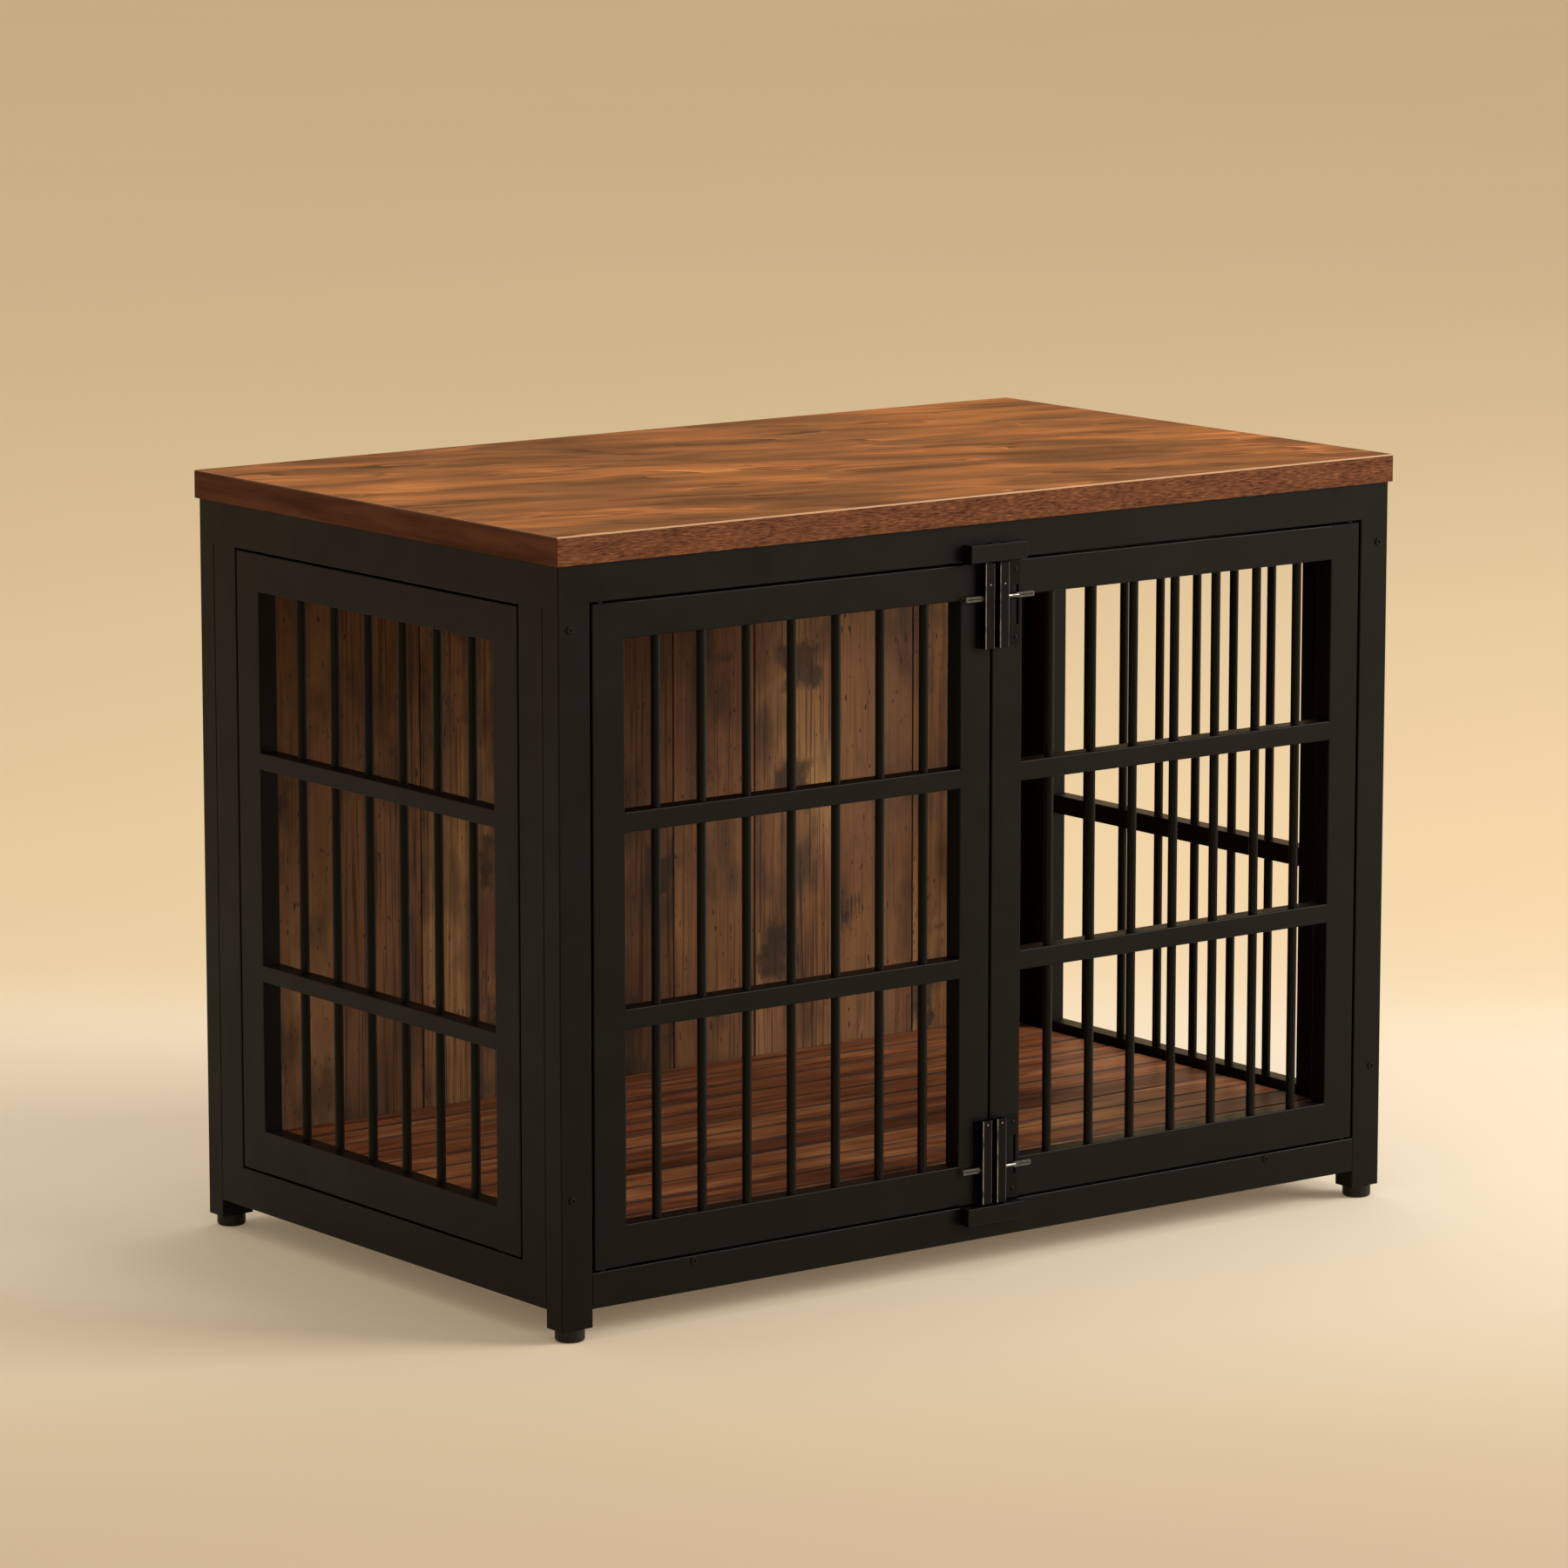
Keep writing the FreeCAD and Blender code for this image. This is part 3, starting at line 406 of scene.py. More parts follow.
def makeSlatWood(settings):
    material, tree, shader, place = newMaterial("softwood slats, planed, stained and sealed",
                                                IOR=1.5, Specular_IOR_Level=settings["gloss"])
    low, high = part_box("floor_strips")
    joint = settings["joint"] * mm
    pitch = (high.y - low.y + joint) / settings["count"]
    axes = addNode(tree, "SeparateXYZ", {0: place["Object"]})
    draw, toEdge = countBoards(tree, axes.outputs["Y"], low.y - joint / 2, pitch)
    shift = addNode(tree, "VectorMath", {0: draw["Color"], 1: settings["shift"]}, operation="MULTIPLY")
    own = addNode(tree, "VectorMath", {0: place["Object"], 1: shift.outputs[0]}, operation="ADD")
    onSlat = {name: addNode(tree, "VectorMath", {0: own.outputs[0], 1: patternScale(*settings[name])},
                            operation="MULTIPLY").outputs[0] for name in ("figureMm", "streakMm", "grainMm")}

    figure = addNode(tree, "TexNoise", {"Vector": onSlat["figureMm"], "Scale": 1.0, "Detail": 3.0,
                                        "Distortion": 0.8})
    tone = addNode(tree, "Mix", {0: settings["slatShare"], 2: figure.outputs["Fac"], 3: draw["Value"]})
    colour = addNode(tree, "ValToRGB", {"Fac": tone.outputs[0]}, stops=settings["tone"])
    streak = addNode(tree, "TexNoise", {"Vector": onSlat["streakMm"], "Scale": 1.0, "Detail": 2.0,
                                        "Distortion": 0.9})
    faint, strong = settings["streakFromTo"]
    streakDark = addNode(tree, "MapRange", {"Value": streak.outputs["Fac"], "From Min": faint,
                                            "From Max": strong, "To Max": settings["streakPower"]})
    streaked = addNode(tree, "Mix", {0: streakDark.outputs[0], 6: colour.outputs[0],
                                     7: linearColour(settings["streak"])}, data_type="RGBA")
    grain = addNode(tree, "TexNoise", {"Vector": onSlat["grainMm"], "Scale": 1.0, "Detail": 2.0})
    grained = addNode(tree, "Mix", {0: settings["grainPower"], 6: streaked.outputs[2],
                                    7: grain.outputs["Fac"]}, data_type="RGBA", blend_type="SOFT_LIGHT")
    # painted shade: each slat darkens towards its edges, where the joints between the slats are
    dark = addNode(tree, "MapRange", {"Value": toEdge, "From Max": 0.5 - joint / 2 / pitch,
                                      "From Min": 0.5 - settings["jointShadeMm"] * mm / pitch,
                                      "To Max": settings["jointShadePower"]})
    finished = addNode(tree, "Mix", {0: dark.outputs[0], 6: grained.outputs[2],
                                     7: linearColour(settings["edge"])}, data_type="RGBA")
    tree.links.new(finished.outputs[2], shader.inputs["Base Color"])
    smooth, dull = settings["rough"]
    rough = addNode(tree, "MapRange", {"Value": grain.outputs["Fac"], "To Min": smooth, "To Max": dull})
    tree.links.new(rough.outputs[0], shader.inputs["Roughness"])
    bump = addNode(tree, "Bump", {"Height": grain.outputs["Fac"], "Strength": settings["reliefStrength"],
                                  "Distance": settings["reliefMm"] * mm})
    tree.links.new(bump.outputs[0], shader.inputs["Normal"])
    return material


# Bearers: pine, planed and left bare: light brown, dry, with straight growth lines along them.
bearers = {
    "growth": [(0.38, "#7d5634"), (0.55, "#a37b50")], "ringMm": (7, 220, 7), "rough": 0.72, "gloss": 0.3,
    "reliefMm": 0.1, "reliefStrength": 0.3,
}


def makeBearerWood(settings):
    material, tree, shader, place = newMaterial("pine, planed, bare", IOR=1.5, Roughness=settings["rough"],
                                                Specular_IOR_Level=settings["gloss"])
    stretched = addNode(tree, "VectorMath", {0: place["Object"], 1: patternScale(*settings["ringMm"])},
                        operation="MULTIPLY")
    growth = addNode(tree, "TexNoise", {"Vector": stretched.outputs[0], "Scale": 1.0, "Detail": 3.0,
                                        "Distortion": 0.5})
    colour = addNode(tree, "ValToRGB", {"Fac": growth.outputs["Fac"]}, stops=settings["growth"])
    tree.links.new(colour.outputs[0], shader.inputs["Base Color"])
    bump = addNode(tree, "Bump", {"Height": growth.outputs["Fac"], "Strength": settings["reliefStrength"],
                                  "Distance": settings["reliefMm"] * mm})
    tree.links.new(bump.outputs[0], shader.inputs["Normal"])
    return material


# Latch steel: pressed sheet, dipped in black enamel. It is blacker than the tubes. Along the bends the
# enamel is drawn rubbed through to grey metal, partly wear and partly a painted highlight, and the upper
# sides of the handle loops carry a painted highlight in the same grey metal.
latches = {
    "enamel": "#050505", "bare": "#b4b4ac", "gloss": 0.1, "rough": (0.26, 0.42),
    "edgeCosine": 0.93, "rubAndHighlightMm": 9, "rubAndHighlightFromTo": (0.35, 0.55), "rubAndHighlightPower": (0.25, 0.85),
    "handleFromMm": 15.0, "handleHighlightMm": 4, "handleHighlightFromTo": (0.3, 0.5), "handleHighlightLeast": 0.45,
    "upwards": (-0.1, 0.35), "peelMm": 2.0, "peelDepthMm": 0.03, "peelStrength": 0.3,
}


def makeLatchSteel(settings, name, isBolt):
    material, tree, shader, place = newMaterial(name, IOR=1.5, Specular_IOR_Level=settings["gloss"])
    parts = addNode(tree, "VectorMath", {0: place["Normal"]}, operation="ABSOLUTE")
    sides = addNode(tree, "SeparateXYZ", {0: parts.outputs[0]})
    larger = addNode(tree, "Math", {0: sides.outputs["X"], 1: sides.outputs["Y"]}, operation="MAXIMUM")
    largest = addNode(tree, "Math", {0: larger.outputs[0], 1: sides.outputs["Z"]}, operation="MAXIMUM")
    # partly wear, partly painted highlight: the bends are drawn in patches of bare grey metal
    isBend = addNode(tree, "Math", {0: largest.outputs[0], 1: settings["edgeCosine"]}, operation="LESS_THAN")
    rubAndHighlightNoise = addNode(tree, "TexNoise", {"Vector": place["Object"], "Scale": 1000 / settings["rubAndHighlightMm"],
                                     "Detail": 3.0})
    faint, strong = settings["rubAndHighlightFromTo"]
    least, most = settings["rubAndHighlightPower"]
    rubbed = addNode(tree, "MapRange", {"Value": rubAndHighlightNoise.outputs["Fac"], "From Min": faint, "From Max": strong,
                                        "To Min": least, "To Max": most})
    bare = addNode(tree, "Math", {0: isBend.outputs[0], 1: rubbed.outputs[0]}, operation="MULTIPLY")
    if isBolt:  # the loops stand out sideways, further from the middle than the bolts
        axes = addNode(tree, "SeparateXYZ", {0: place["Object"]})
        fromMiddle = addNode(tree, "Math", {0: axes.outputs["X"]}, operation="ABSOLUTE")
        isLoop = addNode(tree, "Math", {0: fromMiddle.outputs[0], 1: settings["handleFromMm"] * mm},
                         operation="GREATER_THAN")
        handleHighlightNoise = addNode(tree, "TexNoise", {"Vector": place["Object"], "Scale": 1000 / settings["handleHighlightMm"],
                                          "Detail": 2.0})
        faint, strong = settings["handleHighlightFromTo"]
        paintedHighlight = addNode(tree, "MapRange", {"Value": handleHighlightNoise.outputs["Fac"], "From Min": faint,
                                          "From Max": strong, "To Min": settings["handleHighlightLeast"]})
        # painted highlight: the upward-facing sides of the loops are drawn in bare grey metal
        normal = addNode(tree, "SeparateXYZ", {0: place["Normal"]})
        below, above = settings["upwards"]
        upwards = addNode(tree, "MapRange", {"Value": normal.outputs["Z"], "From Min": below,
                                             "From Max": above})
        onTop = addNode(tree, "Math", {0: paintedHighlight.outputs[0], 1: upwards.outputs[0]}, operation="MULTIPLY")
        loopTopHighlight = addNode(tree, "Math", {0: isLoop.outputs[0], 1: onTop.outputs[0]}, operation="MULTIPLY")
        bare = addNode(tree, "Math", {0: bare.outputs[0], 1: loopTopHighlight.outputs[0]}, operation="MAXIMUM")
    colour = addNode(tree, "Mix", {0: bare.outputs[0], 6: linearColour(settings["enamel"]),
                                   7: linearColour(settings["bare"])}, data_type="RGBA")
    tree.links.new(colour.outputs[2], shader.inputs["Base Color"])
    tree.links.new(bare.outputs[0], shader.inputs["Metallic"])
    smooth, dull = settings["rough"]
    rough = addNode(tree, "MapRange", {"Value": rubAndHighlightNoise.outputs["Fac"], "To Min": smooth, "To Max": dull})
    tree.links.new(rough.outputs[0], shader.inputs["Roughness"])
    peel = addNode(tree, "TexNoise", {"Vector": place["Object"], "Scale": 1000 / settings["peelMm"],
                                      "Detail": 1.0})
    bump = addNode(tree, "Bump", {"Height": peel.outputs["Fac"], "Strength": settings["peelStrength"],
                                  "Distance": settings["peelDepthMm"] * mm})
    tree.links.new(bump.outputs[0], shader.inputs["Normal"])
    return material


# Small steel parts: black oxide, dipped, on the screws and hinge pins (dull, nearly the colour of the
# frame), and zinc plate on the stop pins, barrel plated (small bright points).
smallSteel = {
    "oxide": ("#1b1b19", "#2a2926", 0.5), "pin": ("#191917", "#262522", 0.5),
    "zinc": ("#8e8e8a", "#b9b9b3", 0.35), "grainMm": (1.2, 1.2, 6), "reliefMm": 0.02, "reliefStrength": 0.2,
}


def makeSmallSteel(name, settings, finish):
    dark, pale, rough = settings[finish]
    material, tree, shader, place = newMaterial(name, Metallic=1.0, Roughness=rough)
    stretched = addNode(tree, "VectorMath", {0: place["Object"], 1: patternScale(*settings["grainMm"])},
                        operation="MULTIPLY")
    grain = addNode(tree, "TexNoise", {"Vector": stretched.outputs[0], "Scale": 1.0, "Detail": 2.0})
    colour = addNode(tree, "Mix", {0: grain.outputs["Fac"], 6: linearColour(dark), 7: linearColour(pale)},
                     data_type="RGBA")
    tree.links.new(colour.outputs[2], shader.inputs["Base Color"])
    bump = addNode(tree, "Bump", {"Height": grain.outputs["Fac"], "Strength": settings["reliefStrength"],
                                  "Distance": settings["reliefMm"] * mm})
    tree.links.new(bump.outputs[0], shader.inputs["Normal"])
    return material


# Polypropylene, injection moulded with a spark finish: black, dull, a little dusty. The spark texture is
# drawn coarser than real, so that it shows.
mouldedPlastic = {
    "colour": "#0a0a09", "dusty": "#171410", "dustMm": 14, "sparkMm": 0.9, "sparkDepthMm": 0.05,
    "sparkStrength": 0.4, "rough": 0.5, "gloss": 0.25,
}


def makeMouldedPlastic(settings):
    material, tree, shader, place = newMaterial("polypropylene, moulded, spark finish", IOR=1.49,
                                                Specular_IOR_Level=settings["gloss"],
                                                Roughness=settings["rough"])
    dust = addNode(tree, "TexNoise", {"Vector": place["Object"], "Scale": 1000 / settings["dustMm"],
                                      "Detail": 3.0})
    colour = addNode(tree, "Mix", {0: dust.outputs["Fac"], 6: linearColour(settings["colour"]),
                                   7: linearColour(settings["dusty"])}, data_type="RGBA")
    tree.links.new(colour.outputs[2], shader.inputs["Base Color"])
    spark = addNode(tree, "TexNoise", {"Vector": place["Object"], "Scale": 1000 / settings["sparkMm"],
                                       "Detail": 1.0})
    bump = addNode(tree, "Bump", {"Height": spark.outputs["Fac"], "Strength": settings["sparkStrength"],
                                  "Distance": settings["sparkDepthMm"] * mm})
    tree.links.new(bump.outputs[0], shader.inputs["Normal"])
    return material


steelCoat = makePowderCoat(powderCoat)
plateEnamel = makeLatchSteel(latches, "pressed steel, black enamel, rubbed bends", False)
boltEnamel = makeLatchSteel(latches, "steel bolt, black enamel, rubbed handle", True)
blackOxide = makeSmallSteel("screw steel, black oxide", smallSteel, "oxide")
pinOxide = makeSmallSteel("pin steel, black oxide, oiled", smallSteel, "pin")
zincPlate = makeSmallSteel("rivet steel, zinc plated", smallSteel, "zinc")
plastic = makeMouldedPlastic(mouldedPlastic)

coat([name for name in nodes if name.endswith(("_rail", "_stile", "_bars"))], steelCoat)
coat([name for name in nodes if name.startswith("post_") or "_side_stile_" in name], steelCoat)
coat(["top_brackets", "latch_keepers"], steelCoat)
coat(["table_top"], makeTopBoard(topBoard))
plankWood = makePlankWood(planks)
coat(["back_planks"], plankWood)
coat(["floor_strips"], makeSlatWood(slats))
coat(["floor_bearers"], makeBearerWood(bearers))
coat(["left_latch_guides", "right_latch_guides"], plateEnamel)
coat([name for name in nodes if name.endswith("_bolt")], boltEnamel)
coat(["hinge_pins"], pinOxide)
coat(["feet", "left_door_end_plugs", "right_door_end_plugs"], plastic)
print("stage: materials made and assigned")


def turnProfile(mesh, profile, steps):  # profile: radius and height in millimetres, from pole to pole
    corners = [mesh.verts.new((radius * mm, 0, height * mm)) for radius, height in profile]
    lines = [mesh.edges.new(pair) for pair in zip(corners, corners[1:])]
    bmesh.ops.spin(mesh, geom=corners + lines, cent=(0, 0, 0), axis=(0, 0, 1), angle=2 * math.pi, steps=steps,
                   use_merge=True)
    bmesh.ops.remove_doubles(mesh, verts=[vert for vert in mesh.verts if not vert.tag], dist=sameSpot)
    fresh = [vert for vert in mesh.verts if not vert.tag]
    for vert in fresh:
        vert.tag = True  # marks the finished ones, so the next one is found by its missing mark
    return fresh


# Button head screws with a hexagon socket, in the places of the plain ones.
screws = {
    "head": 3.8, "rim": 0.5, "crown": 2.9, "height": 1.5, "socket": 1.7, "socketDepth": 1.0, "shank": 2.5,
    "steps": 24, "face": 300.0, "postX": 487.5, "postZ": (134.0, 661.0), "bearerX": 350.0, "bearerZ": 58.0,
    "length": 45.0, "bracketX": 300.0, "bracketY": 264.0, "bracketZ": 718.0, "bracketLength": 16.0,
}


def addScrew(mesh, settings, spot, matrix, length):
    floorHeight = settings["height"] - settings["socketDepth"]
    profile = [(0, -length), (settings["shank"], -length), (settings["shank"], 0), (settings["head"], 0),
               (settings["head"], settings["rim"]), (settings["crown"], settings["height"]),
               (settings["socket"], settings["height"]), (settings["socket"], floorHeight), (0, floorHeight)]
    verts = turnProfile(mesh, profile, settings["steps"])
    sixth = math.pi / 3
    for vert in verts:  # the round socket becomes a hexagon
        if abs(vert.co.xy.length - settings["socket"] * mm) < sameSpot:
            angle = math.atan2(vert.co.y, vert.co.x)
            vert.co.xy *= math.cos(sixth / 2) / math.cos(angle % sixth - sixth / 2)
    bmesh.ops.transform(mesh, matrix=Matrix.Translation(Vector(spot) * mm) @ matrix, verts=verts)


def makeScrews(settings):
    mesh = bmesh.new()
    upwards = Matrix.Rotation(math.radians(180), 4, "X")
    for face in (-1, 1):  # front, back
        outwards = Matrix.Rotation(math.radians(-90 * face), 4, "X")
        for side in (-1, 1):
            spots = [(side * settings["postX"], face * settings["face"], z) for z in settings["postZ"]]
            spots.append((side * settings["bearerX"], face * settings["face"], settings["bearerZ"]))
            for spot in spots:
                addScrew(mesh, settings, spot, outwards, settings["length"])
            spot = (side * settings["bracketX"], face * settings["bracketY"], settings["bracketZ"])
            addScrew(mesh, settings, spot, upwards, settings["bracketLength"])
    finishPiece(mesh, "screws_hex_socket", blackOxide, "frame", ["frame_screws"])


makeScrews(screws)
print("stage: screws made")

# Rivets that hold the latch plates (black) and a zinc plated stop pin in each channel.
rivets = {
    "steps": 20, "dome": [(0, 0), (1.0, 0), (0.92, 0.45), (0.62, 0.85), (0, 1)],
    "height": 0.8, "doorEnds": ((682.0, -1), (65.0, 1)), "fromEnd": (9.0, 74.0),
    "plateY": -301.5, "plate": {-1: (16.25, 1.4), 1: (28.25, 2.0)},
    "channelY": -309.5, "channelX": 8.75, "stopRadius": 0.9, "stopHeight": 0.6, "stopFromEnd": (20.0, 77.0),
}


def addRivet(mesh, settings, spot, radius, height):
    profile = [(radius * across, height * up) for across, up in settings["dome"]]
    verts = turnProfile(mesh, profile, settings["steps"])
    outwards = Matrix.Rotation(math.radians(90), 4, "X")
    bmesh.ops.transform(mesh, matrix=Matrix.Translation(Vector(spot) * mm) @ outwards, verts=verts)


def makeRivets(settings, name, side):
    plateMesh, stopMesh = bmesh.new(), bmesh.new()
    plateX, plateRadius = settings["plate"][side]
    for (doorEnd, inwards), stopDistance in zip(settings["doorEnds"], settings["stopFromEnd"]):
        for distance in settings["fromEnd"]:
            spot = (side * plateX, settings["plateY"], doorEnd + inwards * distance)
            addRivet(plateMesh, settings, spot, plateRadius, settings["height"])
        spot = (side * settings["channelX"], settings["channelY"], doorEnd + inwards * stopDistance)
        addRivet(stopMesh, settings, spot, settings["stopRadius"], settings["stopHeight"])
    finishPiece(plateMesh, name + "_latch_rivets", steelCoat, name + "_door")
    finishPiece(stopMesh, name + "_latch_stops", zincPlate, name + "_door")


makeRivets(rivets, "left", -1)
makeRivets(rivets, "right", 1)
print("stage: rivets made")

# Welds, ground flush: where the end of one tube meets the rounded edge of another, weld metal fills the
# groove level with both faces. Each row names the tubes that run through and those that end at them.
welds = {
    "radius": 1.2, "levelWithin": 0.1,
    "slots": {"frame": "frame_steel", "left_door": "door_steel", "right_door": "door_steel"},
    "frame": [(["post_front_left", "post_front_right"], ["front_top_rail"]),
              (["post_back_left", "post_back_right"], ["back_top_rail"]),
              (["post_front_left", "post_back_left"], ["left_top_rail"]),
              (["post_front_right", "post_back_right"], ["right_top_rail"]),
              (["left_top_rail", "left_bottom_rail"], ["left_side_stile_front", "left_side_stile_back"]),
              (["right_top_rail", "right_bottom_rail"], ["right_side_stile_front", "right_side_stile_back"]),
              (["left_panel_front_stile", "left_panel_back_stile"],
               ["left_panel_top_rail", "left_panel_upper_cross_rail", "left_panel_lower_cross_rail",
                "left_panel_bottom_rail"]),
              (["right_panel_front_stile", "right_panel_back_stile"],
               ["right_panel_top_rail", "right_panel_cross_rail", "right_panel_bottom_rail"])],
    "left_door": [(["left_door_hinge_stile", "left_door_meeting_stile"],
                   ["left_door_top_rail", "left_door_upper_cross_rail", "left_door_lower_cross_rail",
                    "left_door_bottom_rail"])],
    "right_door": [(["right_door_hinge_stile", "right_door_meeting_stile"],
                    ["right_door_top_rail", "right_door_upper_cross_rail", "right_door_lower_cross_rail",
                     "right_door_bottom_rail"])],
}


def addPrism(mesh, corners, reach):  # from the corners of one end face and the way to the other end
    start = mesh.faces.new([mesh.verts.new(corner) for corner in corners])
    grown = bmesh.ops.extrude_face_region(mesh, geom=[start], use_keep_orig=True)
    moved = [item for item in grown["geom"] if isinstance(item, bmesh.types.BMVert)]
    bmesh.ops.translate(mesh, verts=moved, vec=reach)


def addWeld(mesh, radius, levelWithin, through, ending):
    throughBox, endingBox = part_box(through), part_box(ending)
    gaps = [(abs(throughBox[1 - end][axis] - endingBox[end][axis]), axis, end)
            for axis in range(3) for end in (0, 1)]
    _, seam, end = min(gaps)  # the axis from one tube to the other, and which end of the ending tube
    inwards = -1 if end == 0 else 1  # from the seam into the tube that runs through
    depth, run = [axis for axis in range(3) if axis != seam]
    for face, into in ((0, 1), (1, -1)):
        if abs(throughBox[face][depth] - endingBox[face][depth]) > levelWithin:
            continue  # the faces aren't level here
        corners = []
        for alongSeam, intoFace in ((0, 0), (inwards * radius, 0), (0, into * radius)):
            corner = Vector((0, 0, 0))
            corner[seam] = endingBox[end][seam] + alongSeam
            corner[depth] = endingBox[face][depth] + intoFace
            corner[run] = endingBox[0][run] + radius
            corners.append(corner)
        reach = Vector((0, 0, 0))
        reach[run] = endingBox[1][run] - endingBox[0][run] - 2 * radius
        addPrism(mesh, corners, reach)


def makeWelds(settings):
    for body, slotName in settings["slots"].items():
        mesh = bmesh.new()
        for throughTubes, endingTubes in settings[body]:
            for through in throughTubes:
                for ending in endingTubes:
                    addWeld(mesh, settings["radius"] * mm, settings["levelWithin"] * mm, through, ending)
        finishPiece(mesh, "ground_welds_" + body, steelCoat, body)


makeWelds(welds)
print("stage: welds made")

# Loose tongues that close the joints between the planks, deep inside, with eased corners.
tongues = {"halfWidth": 0.49, "halfDepth": 2.5, "nose": 0.3, "noseLength": 0.4, "endGap": 1.0}


def makeTongues(settings, plankSettings):
    mesh = bmesh.new()
    low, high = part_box("back_planks")
    pitch = (high.x - low.x + plankSettings["joint"] * mm) / plankSettings["count"]
    wide, deep, nose = settings["halfWidth"], settings["halfDepth"], settings["nose"]
    shoulder = deep - settings["noseLength"]
    outline = [(wide, shoulder), (nose, deep), (-nose, deep), (-wide, shoulder),
               (-wide, -shoulder), (-nose, -deep), (nose, -deep), (wide, -shoulder)]
    endGap = settings["endGap"] * mm
    reach = Vector((0, 0, high.z - low.z - 2 * endGap))
    for joint in range(1, plankSettings["count"]):
        x = low.x + joint * pitch - plankSettings["joint"] / 2 * mm
        y = (low.y + high.y) / 2
        addPrism(mesh, [(x + dx * mm, y + dy * mm, low.z + endGap) for dx, dy in outline], reach)
    finishPiece(mesh, "plank_tongues", plankWood, "frame")


makeTongues(tongues, planks)
print("stage: tongues made")

# The studio: pale floor, a large soft key from the front right, a weak soft box overhead and a pale sky.
# Painted light and shade on the floor: darker near the camera and a pale cream band in the middle; further
# away it turns tan. The floor also has painted light of its own, a little glow for the camera and in
# reflections.
studio = {
    "floor": [(0.16, "#c3b09a"), (0.26, "#d5c5aa"), (0.38, "#eee7d8"), (0.56, "#efe6d4"), (0.64, "#e6d2b0"),
              (0.76, "#e4cfaa")],
    "away": (0.603, 0.797, 0.0), "awayFromTo": (-2.0, 3.0), "floorSize": 90.0,
    "floorRough": 0.9, "floorGloss": 0.1, "mottleScale": 0.6, "mottle": (0.97, 1.03),
    "glow": "#e8cda2", "glowStrength": 0.2, "sky": "#f4eadb", "seenSky": "#dcbb90", "skyStrength": 0.55,
    "keyPlace": (6.0, -5.0, 3.6), "keySize": 4.0, "keyPower": 585.0, "key": "#fff9f1",
    "topPlace": (0.9, 0.4, 4.4), "topSize": 2.6, "topPower": 32.0, "top": "#fff6ea",
    "aim": (0.0, 0.0, 0.35),
}


def makeSeenByEye(tree):  # 1 for camera, glossy and transmission rays
    ray = addNode(tree, "LightPath").outputs
    gloss = addNode(tree, "Math", {0: ray["Is Camera Ray"], 1: ray["Is Glossy Ray"]}, operation="MAXIMUM")
    return addNode(tree, "Math", {0: gloss.outputs[0], 1: ray["Is Transmission Ray"]},
                   operation="MAXIMUM").outputs[0]


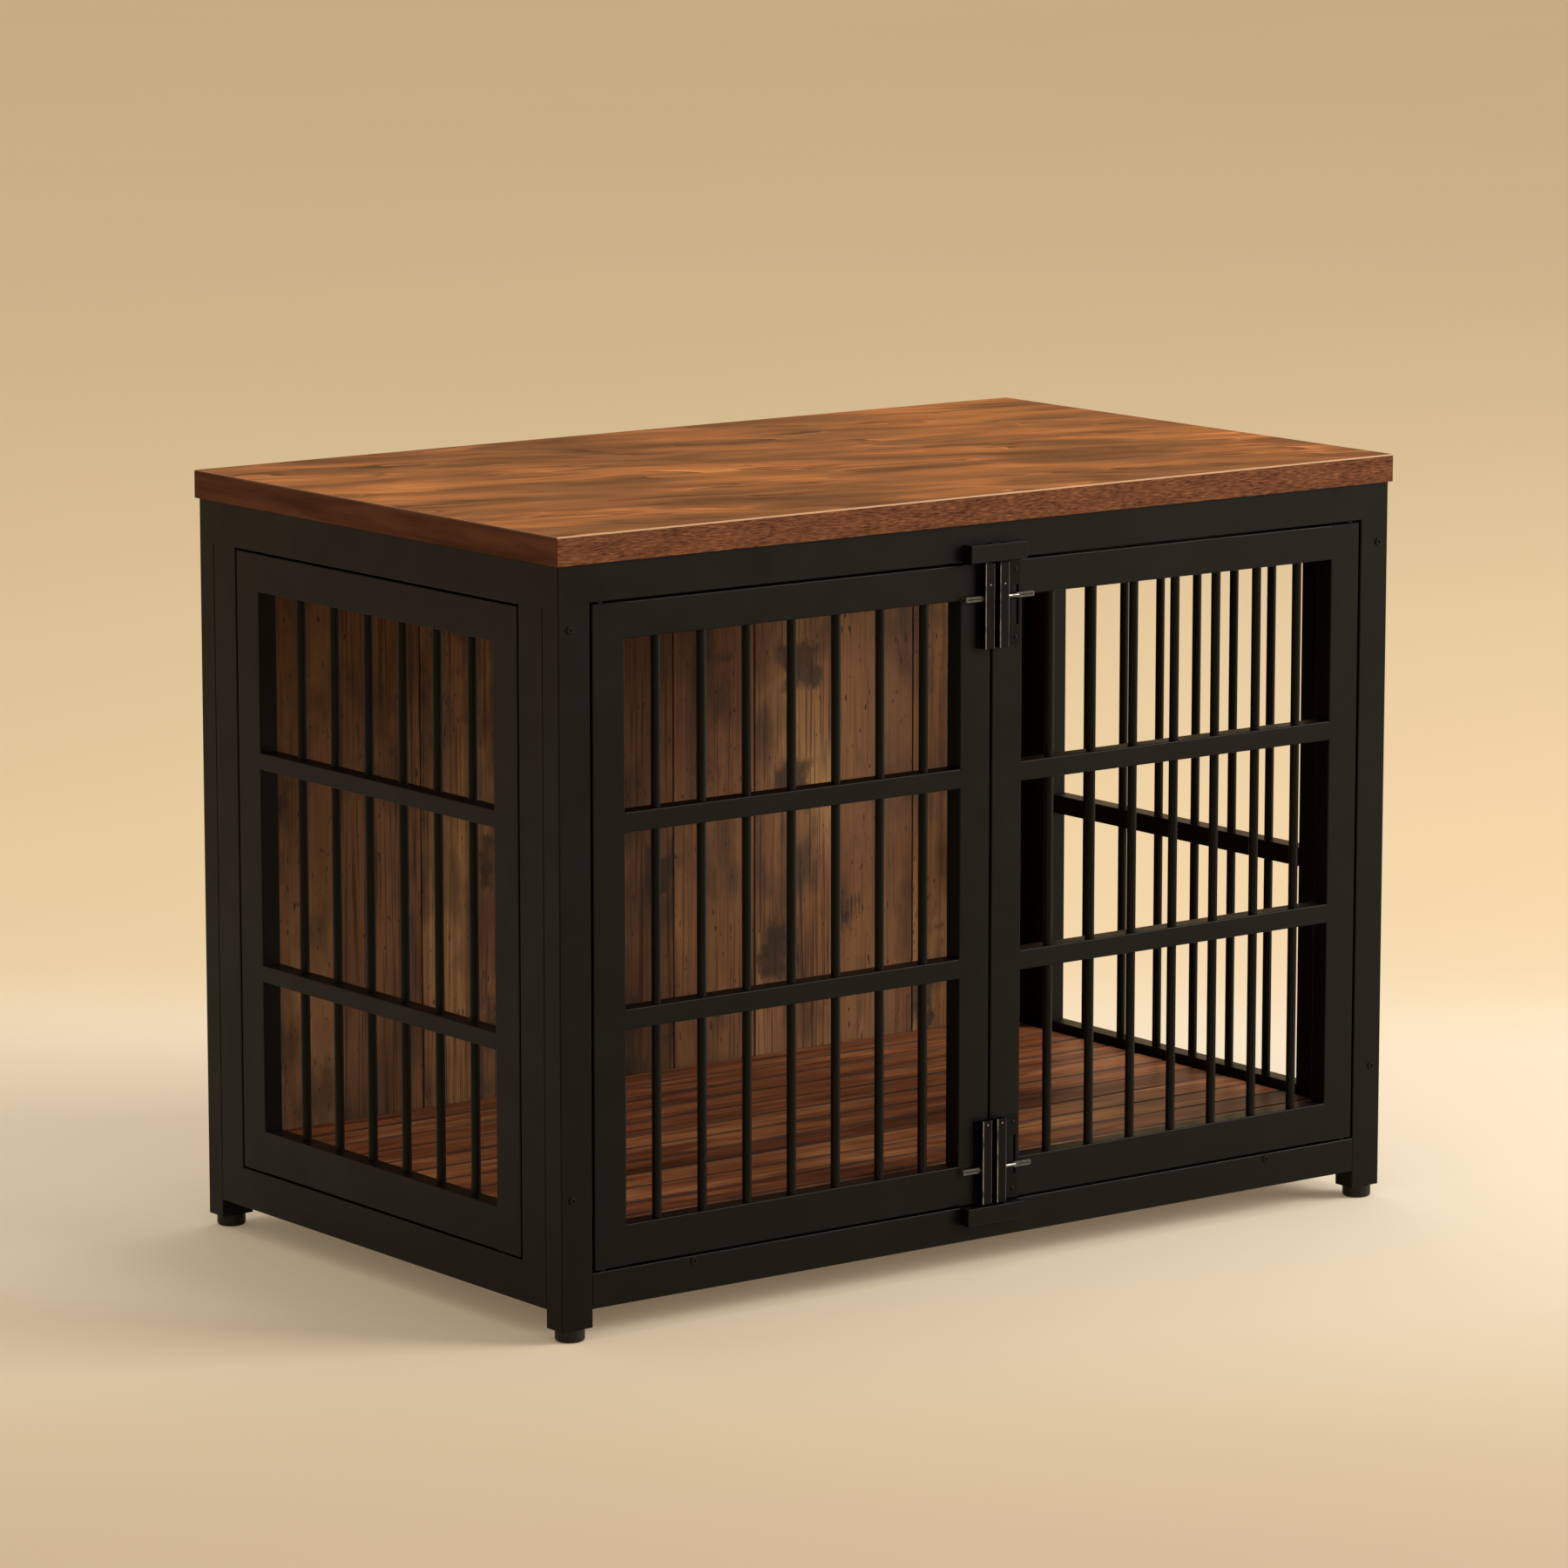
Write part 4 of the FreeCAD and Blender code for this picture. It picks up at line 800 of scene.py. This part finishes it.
def makeFloor(settings):
    mesh = bmesh.new()
    bmesh.ops.create_grid(mesh, x_segments=1, y_segments=1, size=settings["floorSize"] / 2)
    data = bpy.data.meshes.new("studio_floor")
    mesh.to_mesh(data)
    mesh.free()
    floor = bpy.data.objects.new("studio_floor", data)
    bpy.context.scene.collection.objects.link(floor)
    material, tree, shader, place = newMaterial("backdrop paper, matt, pale",
                                                Roughness=settings["floorRough"],
                                                Specular_IOR_Level=settings["floorGloss"])
    away = addNode(tree, "VectorMath", {0: place["Object"], 1: settings["away"]}, operation="DOT_PRODUCT")
    near, far = settings["awayFromTo"]
    share = addNode(tree, "MapRange", {"Value": away.outputs["Value"], "From Min": near, "From Max": far})
    # painted light and shade: darker near the camera, cream in the middle, tan further away
    tone = addNode(tree, "ValToRGB", {"Fac": share.outputs[0]}, stops=settings["floor"])
    tone.color_ramp.interpolation = "B_SPLINE"
    mottle = addNode(tree, "TexNoise", {"Vector": place["Object"], "Scale": settings["mottleScale"],
                                        "Detail": 2.0})
    darker, paler = settings["mottle"]
    tint = addNode(tree, "MapRange", {"Value": mottle.outputs["Fac"], "To Min": darker, "To Max": paler})
    colour = addNode(tree, "VectorMath", {0: tone.outputs[0], "Scale": tint.outputs[0]}, operation="SCALE")
    tree.links.new(colour.outputs[0], shader.inputs["Base Color"])
    # painted light: the floor glows a little for the camera and in reflections
    shader.inputs["Emission Color"].default_value = linearColour(settings["glow"])
    glow = addNode(tree, "Math", {0: makeSeenByEye(tree), 1: settings["glowStrength"]}, operation="MULTIPLY")
    tree.links.new(glow.outputs[0], shader.inputs["Emission Strength"])
    data.materials.append(material)


def makeSoftbox(name, place, size, power, colour, aim):
    lamp = bpy.data.lights.new(name, "AREA")
    lamp.shape = "SQUARE"
    lamp.size = size
    lamp.energy = power
    lamp.color = linearColour(colour)[:3]
    box = bpy.data.objects.new(name, lamp)
    box.location = place
    box.rotation_euler = (Vector(aim) - Vector(place)).to_track_quat("-Z", "Y").to_euler()
    bpy.context.scene.collection.objects.link(box)


def makeSky(settings):
    world = bpy.data.worlds.new("studio sky")
    bpy.context.scene.world = world
    world.use_nodes = True
    tree = world.node_tree
    tree.nodes.clear()
    lighting = addNode(tree, "Background", {"Color": linearColour(settings["sky"]),
                                            "Strength": settings["skyStrength"]})
    seen = addNode(tree, "Background", {"Color": linearColour(settings["seenSky"]), "Strength": 1.0})
    choice = addNode(tree, "MixShader", {0: makeSeenByEye(tree), 1: lighting.outputs[0], 2: seen.outputs[0]})
    addNode(tree, "OutputWorld", {"Surface": choice.outputs[0]})


makeFloor(studio)
makeSoftbox("key softbox", studio["keyPlace"], studio["keySize"], studio["keyPower"], studio["key"],
            studio["aim"])
makeSoftbox("top softbox", studio["topPlace"], studio["topSize"], studio["topPower"], studio["top"],
            studio["aim"])
makeSky(studio)

# fitted to the corners of the crate in the photograph
viewpoint = {"place": (-4.0391, -5.3163, 1.5840), "turn": 0.647508, "tilt": 0.171381, "lens": 158.407,
             "sensor": 36.0, "reach": 200.0}
lens = bpy.data.cameras.new("photo camera")
lens.lens = viewpoint["lens"]
lens.sensor_width = viewpoint["sensor"]
lens.clip_end = viewpoint["reach"]
camera = bpy.data.objects.new("photo camera", lens)
camera.location = viewpoint["place"]
camera.rotation_euler = (math.pi / 2 - viewpoint["tilt"], 0.0, -viewpoint["turn"])
bpy.context.scene.collection.objects.link(camera)
bpy.context.scene.camera = camera
bpy.context.scene.view_settings.view_transform = "Standard"
print("stage: floor, light and camera set")
